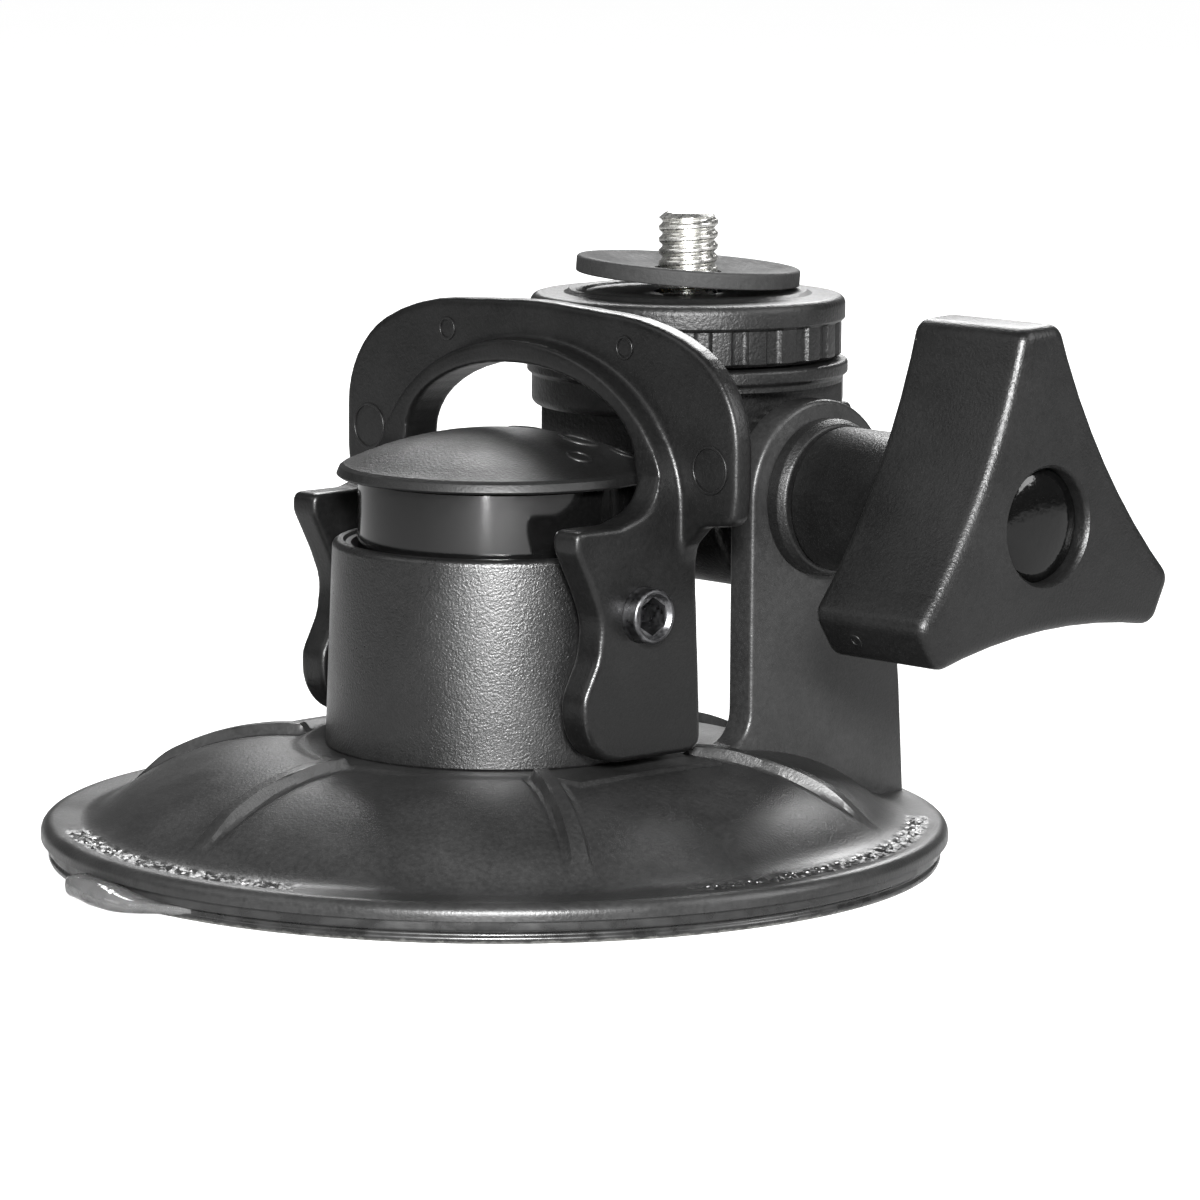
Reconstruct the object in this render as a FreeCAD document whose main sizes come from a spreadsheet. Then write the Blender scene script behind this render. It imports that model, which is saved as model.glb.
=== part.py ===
"""Suction-cup camera mount with a cam lever and a tilting screw head, as a FreeCAD macro.

Units are millimetres and degrees. The origin is the centre of the suction cup's underside, +Z is up,
+X is the lever's pin axis towards the clamp knob, and +Y runs from the barrel towards the tilting head.
"""
import FreeCAD, Part
import math
import os
import Sketcher
from FreeCAD import Placement, Rotation, Vector

DRIVING_SIZES = [
    # base
    ("pad_radius", 47.0, "suction pad's edge"),
    ("pad_edge", 2.4, "pad's thickness at its edge, where the housing's rim rests on it"),
    ("stroke", 3.2, "how far the plunger sinks while the lever folds down"),
    ("pad_lift", 3.4, "height of the pad's underside at its centre while it grips"),
    ("pad_core", 2.0, "pad's thickness at its centre"),
    ("rim_radius", 47.5, "housing's rim"),
    ("rim_top", 4.1, "top of the rim's flat lip"),
    ("rim_round", 1.1, "rounding of the rim's upper edge"),
    ("dome_foot", 42.2, "radius where the dome meets the lip"),
    ("dome_arc", 31.0, "radius of the dome's section"),
    ("dome_wall", 2.5, "dome's thickness"),
    ("land_radius", 21.5, "flat land round the barrel's foot"),
    ("land_top", 11.8, "height of that land, which the lever's cams bear on"),
    ("rib_rise", 1.0, "how far a rib stands above the dome"),
    ("rib_wide", 1.9, "rib's width"),
    ("rib_count", 6, "ribs round the dome"),
    ("well_radius", 10.5, "spring well under the barrel"),
    ("well_top", 15.0, "roof of the spring well"),
    ("spigot_radius", 15.0, "spigot that locates the barrel"),
    ("spigot_top", 17.5, "top of the spigot"),
    ("guide_low", 10.0, "lower end of the stem's guide"),
    ("guide_radius", 4.8, "outside of the stem's guide"),
    ("tab_reach", 50.6, "pull tab's tip from the axis"),
    ("tab_wide", 12.5, "pull tab's width"),
    ("tab_angle", -95.0, "pull tab's direction from +X"),
    # barrel and plunger
    ("barrel_foot", 17.8, "barrel's radius at its foot"),
    ("barrel_head", 17.05, "barrel's radius at its top"),
    ("barrel_bore", 15.06, "barrel's bore"),
    ("barrel_top", 33.4, "barrel's top edge"),
    ("sleeve_radius", 14.4, "plunger's sleeve"),
    ("sleeve_wall", 2.2, "sleeve's wall"),
    ("sleeve_low", 22.0, "sleeve's lower edge"),
    ("sleeve_top", 39.9, "top of the sleeve, where the cap sits"),
    ("sleeve_roof", 2.5, "thickness of the sleeve's top"),
    ("cap_radius", 16.65, "cap's largest radius"),
    ("cap_apex", 44.8, "top of the cap"),
    ("cap_arc", 36.4, "radius of the cap's dome"),
    ("cap_wall", 1.8, "cap's thickness"),
    ("stem_radius", 3.0, "pull stem"),
    ("plate_radius", 14.0, "steel plate that the stem pulls the pad with"),
    ("plate_thick", 1.4, "that plate's thickness"),
    ("spring_coil", 7.0, "return spring's mean coil radius"),
    ("spring_wire", 0.65, "radius of the spring's wire"),
    ("spring_turns", 4, "turns of the return spring"),
    ("running_gap", 0.05, "radial clearance of a running fit"),
    # lever
    ("pin_height", 27.7, "lever pin's axis above the base"),
    ("pin_radius", 2.85, "lever pin"),
    ("pin_end", 24.0, "end of the pin from the middle"),
    ("pin_joint", 2.0, "where the pin's two halves meet"),
    ("pin_shank", 1.95, "threaded shank inside the pin"),
    ("socket_half", 1.7, "half the pin's hexagon socket across flats"),
    ("socket_deep", 3.5, "that socket's depth"),
    ("arm_inner", 18.4, "inner face of a lever arm"),
    ("arm_outer", 22.1, "outer face of a lever arm"),
    ("cam_gap", 0.95, "gap under the cams while the lever stands up"),
    ("arch_front", 2.8, "front of the arch band"),
    ("grip_front", 5.3, "front of the grip plate"),
    ("lever_back", 7.8, "back of the arch band and the grip plate"),
    ("grip_half", 30.0, "half the grip's width"),
    ("grip_top", 57.6, "top of the grip"),
    ("window_half", 17.8, "half the width of the window under the arch"),
    ("window_low", 42.5, "height where the window starts to close"),
    ("window_rise", 9.0, "height of the window's crown above that"),
    # tilting head
    ("tilt_reach", 29.0, "tilt axis from the barrel's axis, along Y"),
    ("tilt_height", 37.1, "tilt axis above the base"),
    ("screw_forward", 1.3, "screw's axis in front of the tilt axis"),
    ("ear_radius", 10.2, "rounded top of the post"),
    ("post_inner", 15.5, "face of the post that the head bears on"),
    ("post_outer", 19.0, "face of the post that the knob bears on"),
    ("block_half", 13.5, "half the width of the block's lower part"),
    ("block_radius", 10.6, "rounded bottom of the block about the tilt axis"),
    ("drum_radius", 16.7, "round upper part of the block"),
    ("drum_low", 45.4, "underside of the round part"),
    ("drum_top", 50.5, "top of the block"),
    ("drum_lip", 17.2, "lip round the block's top"),
    ("teeth_radius", 9.15, "toothed ring beside the post"),
    ("teeth_count", 36, "teeth on that ring"),
    ("teeth_thick", 1.35, "that ring's thickness"),
    ("screw_radius", 3.175, "quarter-inch camera screw"),
    ("screw_top", 66.0, "top of the camera screw"),
    ("screw_free", 60.8, "lower end of the thread that enters the camera"),
    ("shank_radius", 2.9, "screw's shank below that"),
    ("screw_bevel", 0.7, "bevel at the screw's tip"),
    ("nut_half", 5.0, "half the M6 nut's width across flats"),
    ("nut_thick", 5.0, "M6 nut's thickness"),
    ("wheel_radius", 16.87, "jam wheel"),
    ("wheel_low", 50.85, "underside of the jam wheel"),
    ("wheel_top", 57.15, "top of the jam wheel"),
    ("wheel_flutes", 26, "hollows round the wheel's lower band"),
    ("washer_radius", 12.0, "rubber washer under the camera"),
    ("washer_thick", 1.8, "rubber washer's thickness at its edge"),
    ("washer_height", 59.0, "middle of the rubber washer"),
    ("washer_lean", 3.75, "how far the loose rubber washer leans"),
    # clamp knob
    ("clamp_radius", 2.95, "M6 clamp bolt"),
    ("collar_radius", 8.3, "thrust collar"),
    ("collar_end", 21.4, "outer face of the thrust collar"),
    ("hub_radius", 7.6, "knob's hub"),
    ("knob_back", 35.5, "back of the knob's three lobes"),
    ("knob_front", 51.0, "front of the knob"),
    ("knob_tip", 20.4, "lobe tip from the knob's axis"),
    ("knob_tip_half", 2.75, "half the flat on a lobe's tip"),
    ("knob_hollow", 70.0, "radius of the knob's hollow sides"),
    ("knob_turned", 3.0, "how far the knob is turned from point-up"),
    ("recess_radius", 5.9, "recess in the knob's front"),
]


class Size:
    """A driving size or arithmetic on some: its number, and the sheet expression that gives it."""

    def __init__(self, number, text):
        self.number = float(number)
        self.text = text

    def __add__(self, other):
        other = as_size(other)
        return Size(self.number + other.number, f"({self.text} + {other.text})")

    def __sub__(self, other):
        other = as_size(other)
        return Size(self.number - other.number, f"({self.text} - {other.text})")

    def __mul__(self, factor):
        return Size(self.number * factor, f"({self.text} * {factor})")

    def __neg__(self):
        return self * -1

    def __radd__(self, other):
        return self + other

    def __rsub__(self, other):
        return as_size(other) - self

    def __rmul__(self, factor):
        return self * factor


def as_size(value):
    return value if isinstance(value, Size) else Size(value, repr(float(value)))


class Sheet:
    """Reads the driving sizes by name."""

    def __init__(self, document, rows):
        self.cells = document.addObject("Spreadsheet::Sheet", "Sizes")
        for row, (name, number, meaning) in enumerate(rows, start=1):
            self.cells.set(f"A{row}", name)
            self.cells.set(f"B{row}", str(number))
            self.cells.set(f"C{row}", meaning)
            self.cells.setAlias(f"B{row}", name)
            setattr(self, name, Size(number, f"Sizes.{name}"))


doc = FreeCAD.newDocument("camera_mount")
s = Sheet(doc, DRIVING_SIZES)
ALONG_X = Rotation(Vector(1, 1, 1), 120)  # local X, Y, Z lie along the frame's Y, Z, X
nodes = []


# ---------------------------------------------------------------- helpers

def bind(thing, prop, size):
    thing.setExpression(prop, as_size(size).text)


def body(label, base=(0, 0, 0), rotation=None):
    """A new body with its own place; its base is bound to the sheet."""
    made = doc.addObject("PartDesign::Body", label)
    made.Label = label
    if rotation:
        made.Placement = Placement(Vector(), rotation)
    place(made, base)
    nodes.append(made)
    return made


def place(thing, base):
    for axis, size in zip("xyz", base):
        if as_size(size).number:
            bind(thing, f"Placement.Base.{axis}", size)


def plane(owner, role):
    return next(part for part in owner.Origin.OriginFeatures if part.Role == role)


def sketch(owner, role, shift=0, turn=0):
    """A sketch on one of the body's planes, shifted along its normal and turned about its upright."""
    made = owner.newObject("Sketcher::SketchObject", owner.Label + "_sketch")
    made.AttachmentSupport = (plane(owner, role), [""])
    made.MapMode = "FlatFace"
    if turn:
        made.AttachmentOffset = Placement(Vector(), Rotation(Vector(0, 1, 0), turn))
    if as_size(shift).number:
        bind(made, "AttachmentOffset.Base.z", shift)
    return made


def fix_point(drawing, edge, end, x, y):
    """Ties a point to the sketch's axes by bound distances."""
    for kind, size, axis in (("DistanceX", x, -2), ("DistanceY", y, -1)):
        size = as_size(size)
        if size.number == 0:
            drawing.addConstraint(Sketcher.Constraint("PointOnObject", edge, end, axis))
            continue
        index = drawing.addConstraint(Sketcher.Constraint(kind, -1, 1, edge, end, size.number))
        drawing.setExpression(f"Constraints[{index}]", size.text)


def fix_radius(drawing, edge, radius):
    index = drawing.addConstraint(Sketcher.Constraint("Radius", edge, radius.number))
    drawing.setExpression(f"Constraints[{index}]", radius.text)


def arc_between(start, end, radius):
    """The shorter arc from start to end; its centre is on the left for a positive radius."""
    half = (end - start) * 0.5
    left = Vector(-half.y, half.x, 0).normalize()
    reach = math.sqrt(max(radius * radius - half.Length ** 2, 0))
    centre = start + half + left * math.copysign(reach, radius)
    first, last = (start, end) if radius > 0 else (end, start)
    angles = [math.atan2(p.y - centre.y, p.x - centre.x) for p in (first, last)]
    circle = Part.Circle(centre, Vector(0, 0, 1), abs(radius))
    return Part.ArcOfCircle(circle, angles[0], angles[1])


def outline(drawing, corners):
    """A closed outline. A corner is (x, y), or (x, y, radius) where an arc follows it."""
    spots = [Vector(as_size(c[0]).number, as_size(c[1]).number, 0) for c in corners]
    ends = []
    for number, corner in enumerate(corners):
        start, end = spots[number], spots[(number + 1) % len(spots)]
        if len(corner) == 2:
            edge = drawing.addGeometry(Part.LineSegment(start, end), False)
            ends.append((edge, 1, 2))
            continue
        radius = as_size(corner[2])
        edge = drawing.addGeometry(arc_between(start, end, radius.number), False)
        ends.append((edge, 1, 2) if radius.number > 0 else (edge, 2, 1))
        fix_radius(drawing, edge, radius if radius.number > 0 else -radius)
    for number, corner in enumerate(corners):
        edge, first, _ = ends[number]
        before, _, last = ends[number - 1]
        drawing.addConstraint(Sketcher.Constraint("Coincident", before, last, edge, first))
        fix_point(drawing, edge, first, corner[0], corner[1])


def ring(drawing, x, y, radius):
    x, y, radius = as_size(x), as_size(y), as_size(radius)
    centre = Vector(x.number, y.number, 0)
    edge = drawing.addGeometry(Part.Circle(centre, Vector(0, 0, 1), radius.number), False)
    fix_point(drawing, edge, 3, x, y)
    fix_radius(drawing, edge, radius)


def polygon(drawing, half_width, sides, centre=(0, 0)):
    """A regular polygon given by half its width across flats."""
    reach = half_width * (1 / math.cos(math.pi / sides))
    turns = [2 * math.pi * (k + 0.5) / sides for k in range(sides)]
    x, y = centre
    outline(drawing, [(x + reach * math.cos(a), y + reach * math.sin(a)) for a in turns])


def turned(owner, corners, angle=360, kind="PartDesign::Revolution"):
    """Turns a half section (radius, height) about the body's Z axis."""
    drawing = sketch(owner, "XZ_Plane")
    outline(drawing, corners)
    made = owner.newObject(kind, owner.Label + "_turned")
    made.Profile = drawing
    made.ReferenceAxis = (drawing, ["V_Axis"])
    made.Angle = angle
    return made


def extrude(owner, kind, drawing, length, both_ways=False, flip=False):
    made = owner.newObject(f"PartDesign::{kind}", owner.Label + "_" + kind.lower())
    made.Profile = drawing
    bind(made, "Length", length)
    made.Reversed = flip
    if both_ways:
        made.SideType = "Symmetric"
    return made


def cross_hole(owner, y, z, radius, width):
    """A hole along X right through the body."""
    drawing = sketch(owner, "YZ_Plane")
    ring(drawing, y, z, radius)
    return extrude(owner, "Pocket", drawing, width, both_ways=True)


def repeated(owner, feature, count):
    made = owner.newObject("PartDesign::PolarPattern", owner.Label + "_pattern")
    made.Originals = [feature]
    made.Axis = (next(a for a in owner.Origin.OriginFeatures if a.Role == "Z_Axis"), [""])
    made.Angle = 360
    bind(made, "Occurrences", count)
    owner.Tip = made
    return made


def mirrored(owner, feature):
    made = owner.newObject("PartDesign::Mirrored", owner.Label + "_mirror")
    made.Originals = [feature]
    made.MirrorPlane = (plane(owner, "YZ_Plane"), [""])
    owner.Tip = made
    return made


# ---------------------------------------------------------------- base

def make_housing():
    """Domed cover with a flat lip, six ribs, the barrel's spigot, the stem's guide and the post."""
    housing = body("housing")
    bore = s.stem_radius + s.running_gap
    under = s.land_top - s.dome_wall
    turned(housing, [
        (bore, s.guide_low),
        (s.guide_radius, s.guide_low),
        (s.guide_radius, s.well_top),
        (s.well_radius, s.well_top),
        (s.well_radius, under),
        (s.land_radius, under, s.dome_wall - s.dome_arc),
        (s.dome_foot - 2.0, s.pad_edge),
        (s.rim_radius, s.pad_edge),
        (s.rim_radius, s.rim_top - s.rim_round, s.rim_round),
        (s.rim_radius - s.rim_round, s.rim_top),
        (s.dome_foot, s.rim_top, s.dome_arc),
        (s.land_radius, s.land_top),
        (s.spigot_radius, s.land_top),
        (s.spigot_radius, s.spigot_top),
        (bore, s.spigot_top),
    ])
    section = sketch(housing, "XZ_Plane", turn=30)
    outline(section, [
        (s.land_radius - 1.0, s.land_top - 1.0),
        (s.land_radius - 1.0, s.land_top),
        (s.land_radius + 0.5, s.land_top + s.rib_rise, -s.dome_arc),
        (s.dome_foot - 0.6, s.rim_top + 0.6),
        (s.dome_foot - 0.6, s.rim_top - 0.6),
        (s.dome_foot - 3.0, s.rim_top - 0.6, s.dome_arc),
    ])
    repeated(housing, extrude(housing, "Pad", section, s.rib_wide, both_ways=True), s.rib_count)
    post = sketch(housing, "YZ_Plane", shift=s.post_inner)
    left = s.tilt_reach - s.ear_radius
    right = s.tilt_reach + s.ear_radius
    outline(post, [
        (left - 3.2, s.land_top - 2.0),
        (left - 3.2, s.land_top - 0.4, 4.0),
        (left, s.land_top + 3.2),
        (left, s.tilt_height, -s.ear_radius),
        (s.tilt_reach, s.tilt_height + s.ear_radius, -s.ear_radius),
        (right, s.tilt_height),
        (right + 2.4, s.rim_top + 12.0),
        (right + 3.2, s.rim_top - 1.0),
        (right - 3.0, s.rim_top - 1.0),
    ])
    extrude(housing, "Pad", post, s.post_outer - s.post_inner)
    eye = sketch(housing, "YZ_Plane", shift=s.post_inner - 1.0)
    ring(eye, s.tilt_reach, s.tilt_height, s.clamp_radius + s.running_gap)
    extrude(housing, "Pocket", eye, s.post_outer - s.post_inner + 2.0, flip=True)


def make_barrel():
    """Textured sleeve on the spigot, with a slot each side that the lever's pin slides in."""
    barrel = body("barrel")
    turned(barrel, [
        (s.barrel_bore, s.land_top),
        (s.barrel_foot, s.land_top),
        (s.barrel_head, s.barrel_top - 0.6, 0.6),
        (s.barrel_head - 0.6, s.barrel_top),
        (s.barrel_bore, s.barrel_top),
    ])
    slot = sketch(barrel, "YZ_Plane")
    half = s.pin_radius + 0.3
    top = s.pin_height
    low = s.pin_height - s.stroke
    outline(slot, [
        (-half, low, half),
        (0, low - half, half),
        (half, low),
        (half, top, half),
        (0, top + half, half),
        (-half, top),
    ])
    extrude(barrel, "Pocket", slot, s.barrel_foot * 2.2, both_ways=True)


def make_suction_pad():
    """Soft disc, drawn up in the middle, with a tab to peel it off by."""
    pad = body("suction_pad")
    turned(pad, [
        (0, s.pad_lift),
        (s.stem_radius * 3, s.pad_lift),
        (s.dome_foot - 3.0, 0),
        (s.pad_radius - 0.6, 0, 0.6),
        (s.pad_radius, 0.6),
        (s.pad_radius, s.pad_edge),
        (s.dome_foot - 2.0, s.pad_edge),
        (s.plate_radius + 2.0, s.pad_lift + s.pad_core),
        (0, s.pad_lift + s.pad_core),
    ])
    tab = sketch(pad, "XY_Plane", shift=0.4)
    half = s.tab_wide * 0.5
    outline(tab, [
        (half, -(s.pad_radius - 3.0)),
        (-half, -(s.pad_radius - 3.0)),
        (-half, -(s.tab_reach - 3.0), 3.0),
        (3.0 - half, -s.tab_reach),
        (half - 3.0, -s.tab_reach, 3.0),
        (half, -(s.tab_reach - 3.0)),
    ])
    tab.AttachmentOffset = Placement(Vector(), Rotation(Vector(0, 0, 1), s.tab_angle.number + 90))
    extrude(pad, "Pad", tab, s.pad_edge - 0.8)


def make_return_spring():
    """Compression spring between the well's roof and the stem's plate, which presses the pad down."""
    low = s.pad_lift + s.pad_core + s.plate_thick + s.spring_wire
    path = doc.addObject("Part::Helix", "spring_path")
    height = s.well_top - s.spring_wire - low
    bind(path, "Radius", s.spring_coil)
    bind(path, "Height", height)
    path.SegmentLength = 1  # one face per turn
    path.setExpression("Pitch", f"{height.text} / Sizes.spring_turns")
    wire = doc.addObject("Part::Circle", "spring_section")
    bind(wire, "Radius", s.spring_wire)
    wire.Placement = Placement(Vector(s.spring_coil.number, 0, 0), Rotation(Vector(1, 0, 0), 90))
    bind(wire, "Placement.Base.x", s.spring_coil)
    spring = doc.addObject("Part::Sweep", "return_spring")
    spring.Sections = [wire]
    spring.Spine = (path, [])
    spring.Solid = True
    spring.Frenet = True
    spring.Label = "return_spring"
    bind(spring, "Placement.Base.z", low)
    nodes.append(spring)


# ---------------------------------------------------------------- plunger

def make_plunger():
    """Smooth cup that rides in the barrel and carries the lever's pin."""
    plunger = body("plunger")
    inner = s.sleeve_radius - s.sleeve_wall
    roof = s.sleeve_top - s.sleeve_roof
    turned(plunger, [
        (inner, s.sleeve_low),
        (s.sleeve_radius, s.sleeve_low),
        (s.sleeve_radius, s.sleeve_top),
        (1.6, s.sleeve_top),
        (1.6, roof),
        (inner, roof),
    ])
    cross_hole(plunger, 0, s.pin_height, s.pin_radius, s.sleeve_radius * 2.2)


def make_dome_cap():
    cap = body("dome_cap")
    shoulder = s.cap_radius - 0.65
    turned(cap, [
        (0, s.cap_apex - 2.0),
        (1.4, s.cap_apex - 2.0),
        (1.4, s.sleeve_top),
        (3.5, s.sleeve_top),
        (3.5, s.cap_apex - s.cap_wall - 0.2, s.cap_wall - s.cap_arc),
        (shoulder - 2.8, s.sleeve_top + 0.8),
        (shoulder - 2.8, s.sleeve_top),
        (s.cap_radius - 0.25, s.sleeve_top),
        (s.cap_radius, s.sleeve_top + 0.45),
        (s.cap_radius, s.sleeve_top + 0.75, 0.75),
        (shoulder, s.sleeve_top + 1.2, s.cap_arc),
        (1.0, s.cap_apex),
        (0, s.cap_apex),
    ])


def make_cap_screw():
    """Pan-head screw that holds the cap from inside the plunger."""
    roof = s.sleeve_top - s.sleeve_roof
    turned(body("cap_screw"), [
        (0, roof - 1.8),
        (3.0, roof - 1.8),
        (3.0, roof),
        (1.4, roof),
        (1.4, s.cap_apex - 2.1),
        (0, s.cap_apex - 2.1),
    ])


def make_pull_stem():
    """Eye-bolt that hangs on the lever's pin and lifts the middle of the pad."""
    stem = body("pull_stem")
    foot = s.pad_lift + s.pad_core
    shoulder = foot + s.plate_thick
    turned(stem, [
        (0, foot),
        (s.stem_radius, foot),
        (s.stem_radius, shoulder),
        (s.stem_radius + 1.5, shoulder),
        (s.stem_radius + 1.5, shoulder + 1.2),
        (s.stem_radius, shoulder + 1.2),
        (s.stem_radius, s.pin_height - 4.0),
        (0, s.pin_height - 4.0),
    ])
    eye = sketch(stem, "YZ_Plane")
    ring(eye, 0, s.pin_height, s.pin_radius + 2.3)
    extrude(stem, "Pad", eye, 9.0, both_ways=True)
    cross_hole(stem, 0, s.pin_height, s.pin_radius, 20.0)


def make_stem_plate():
    foot = s.pad_lift + s.pad_core
    turned(body("stem_plate"), [
        (s.stem_radius, foot),
        (s.plate_radius, foot),
        (s.plate_radius, foot + s.plate_thick),
        (s.stem_radius, foot + s.plate_thick),
    ])


def hex_socket(owner, end, flip):
    """A hexagonal socket sunk into an end face of a turned pin."""
    drawing = sketch(owner, "XY_Plane", shift=end)
    polygon(drawing, s.socket_half, 6)
    extrude(owner, "Pocket", drawing, s.socket_deep, flip=flip)


def make_pivot_pin():
    """Two-piece pin along X: a bolt whose shank screws into a long barrel nut."""
    bolt = body("pivot_bolt", base=(0, 0, s.pin_height), rotation=ALONG_X)
    turned(bolt, [
        (0, -12.0),
        (s.pin_shank, -12.0),
        (s.pin_shank, s.pin_joint),
        (s.pin_radius, s.pin_joint),
        (s.pin_radius, s.pin_end - 0.3),
        (s.pin_radius - 0.3, s.pin_end),
        (0, s.pin_end),
    ])
    hex_socket(bolt, s.pin_end, flip=False)
    nut = body("pivot_nut", base=(0, 0, s.pin_height), rotation=ALONG_X)
    turned(nut, [
        (0, -s.pin_end),
        (s.pin_radius - 0.3, -s.pin_end),
        (s.pin_radius, 0.3 - s.pin_end),
        (s.pin_radius, s.pin_joint),
        (s.pin_shank + s.running_gap, s.pin_joint),
        (s.pin_shank + s.running_gap, -13.0),
        (0, -13.0),
    ])
    hex_socket(nut, -s.pin_end, flip=True)


# ---------------------------------------------------------------- lever

def window_crown():
    """The crown of the window under the arch, a flattened arch of three arcs from right to left."""
    shoulder_x = s.window_half * 0.62
    shoulder_z = s.window_low + s.window_rise * 0.78
    return [
        (s.window_half, s.window_low, 11.0),
        (shoulder_x, shoulder_z, 29.0),
        (-shoulder_x, shoulder_z, 11.0),
        (-s.window_half, s.window_low),
    ]


def make_lever():
    """Two cam arms joined over the cap by an arch, with a D-shaped grip plate behind it."""
    lever = body("lever")
    foot = s.window_low - 2.5
    band = window_crown() + [
        (-s.window_half, foot),
        (-20.2, foot),
        (-20.0, s.window_low + 2.5, -16.0),
        (-9.0, s.window_low + 10.2, -40.0),
        (9.0, s.window_low + 10.2, -16.0),
        (20.0, s.window_low + 2.5),
        (20.2, foot),
        (s.window_half, foot),
    ]
    drawing = sketch(lever, "XZ_Plane", shift=-s.lever_back)
    outline(drawing, band)
    extrude(lever, "Pad", drawing, s.lever_back - s.arch_front)

    side = s.grip_half
    grip = window_crown() + [
        (-s.window_half, foot),
        (-24.0, 32.7, 6.0),
        (0.5 - side, 37.3),
        (-side, 39.0),
        (-side, 47.0, -9.0),
        (6.5 - side, 54.9, -24.0),
        (-13.0, s.grip_top - 0.7, -115.0),
        (13.0, s.grip_top - 0.7, -24.0),
        (side - 6.5, 54.9, -9.0),
        (side, 47.0),
        (side, 39.0),
        (side - 0.5, 37.3, 6.0),
        (24.0, 32.7),
        (s.window_half, foot),
    ]
    drawing = sketch(lever, "XZ_Plane", shift=-s.lever_back)
    outline(drawing, grip)
    extrude(lever, "Pad", drawing, s.lever_back - s.grip_front)

    foot = s.land_top + s.cam_gap
    arm = sketch(lever, "YZ_Plane", shift=s.arm_inner)
    outline(arm, [
        (-9.2, 36.4),
        (-9.2, 34.8),
        (-6.0, 28.8, -7.0),
        (-6.0, 24.4),
        (-7.8, 20.2),
        (-7.6, foot + 5.4, 5.4),
        (-2.2, foot),
        (7.2, foot, 1.4),
        (8.6, foot + 1.4),
        (8.4, 18.0),
        (s.lever_back, 30.0),
        (s.lever_back, s.window_low + 1.5),
        (s.arch_front, s.window_low + 1.5, -7.0),
        (-2.6, 36.9),
        (-8.7, 36.9),
    ])
    pad = extrude(lever, "Pad", arm, s.arm_outer - s.arm_inner)
    mirrored(lever, pad)
    cross_hole(lever, 0, s.pin_height, s.pin_radius + s.running_gap, s.arm_outer * 2.2)


# ---------------------------------------------------------------- tilting head

HEAD = (0, s.tilt_reach - s.screw_forward, 0)  # the head's local frame has its screw on the Z axis


def make_tilt_block():
    """Block that tilts on the clamp bolt: rounded below, round above with a thin lip."""
    block = body("tilt_block", base=HEAD)
    lower = sketch(block, "YZ_Plane")
    shoulder = s.drum_low + 0.5
    back = s.screw_forward + s.block_radius
    front = s.screw_forward - s.block_radius
    outline(lower, [
        (back, s.tilt_height),
        (back, shoulder),
        (front, shoulder),
        (front, s.tilt_height, s.block_radius),
        (s.screw_forward, s.tilt_height - s.block_radius, s.block_radius),
    ])
    extrude(block, "Pad", lower, s.block_half * 2, both_ways=True)
    drum = sketch(block, "XY_Plane", shift=s.drum_low)
    ring(drum, 0, 0, s.drum_radius)
    extrude(block, "Pad", drum, s.drum_top - s.drum_low)
    lip = sketch(block, "XY_Plane", shift=s.drum_top - 1.5)
    ring(lip, 0, 0, s.drum_lip)
    extrude(block, "Pad", lip, 1.5)
    flat = sketch(block, "XZ_Plane")
    outline(flat, [
        (s.block_half, s.drum_low - 1.0),
        (s.block_half + 5.0, s.drum_low - 1.0),
        (s.block_half + 5.0, s.tilt_height + s.ear_radius + 0.9),
        (s.block_half, s.tilt_height + s.ear_radius + 0.9),
    ])
    mirrored(block, extrude(block, "Pocket", flat, 40.0, both_ways=True))
    cross_hole(block, s.screw_forward, s.tilt_height, s.clamp_radius + s.running_gap, 40.0)
    nut_seat = sketch(block, "YZ_Plane", shift=-s.block_half)
    polygon(nut_seat, s.nut_half + s.running_gap, 6, centre=(s.screw_forward, s.tilt_height))
    extrude(block, "Pocket", nut_seat, s.nut_thick + 0.1, flip=True)
    turned(block, screw_section(s.drum_top + 1.0), kind="PartDesign::Groove")


def screw_section(top):
    """Half section of the camera screw: a flat head moulded into the block, and its shank."""
    head = s.tilt_height + 5.4
    return [
        (0, head),
        (5.0, head),
        (5.0, head + 2.8),
        (s.shank_radius, head + 2.8),
        (s.shank_radius, top),
        (0, top),
    ]


def make_camera_screw():
    turned(body("camera_screw", base=HEAD), screw_section(s.screw_free)[:-1] + [
        (s.screw_radius, s.screw_free),
        (s.screw_radius, s.screw_top - s.screw_bevel),
        (s.screw_radius - s.screw_bevel, s.screw_top),
        (0, s.screw_top),
    ])


def make_tooth_ring():
    """Toothed ring on the block's side, which the clamp presses towards the post."""
    teeth = body("tooth_ring", base=(s.block_half, s.tilt_reach, s.tilt_height), rotation=ALONG_X)
    bore = s.clamp_radius + 0.3
    turned(teeth, [
        (bore, 0),
        (s.teeth_radius, 0),
        (s.teeth_radius, s.teeth_thick),
        (bore, s.teeth_thick),
    ])
    notch = sketch(teeth, "XY_Plane")
    reach = s.teeth_radius
    outline(notch, [(reach - 0.5, 0), (reach + 0.3, -0.5), (reach + 0.3, 0.5)])
    repeated(teeth, extrude(teeth, "Pocket", notch, 3.0, flip=True), s.teeth_count)


def make_friction_washer():
    start = s.block_half + s.teeth_thick
    washer = body("friction_washer", base=(start, s.tilt_reach, s.tilt_height), rotation=ALONG_X)
    bore = s.clamp_radius + 0.3
    thick = s.post_inner - start - 0.06
    turned(washer, [(bore, 0), (8.0, 0), (8.0, thick), (bore, thick)])


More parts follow.
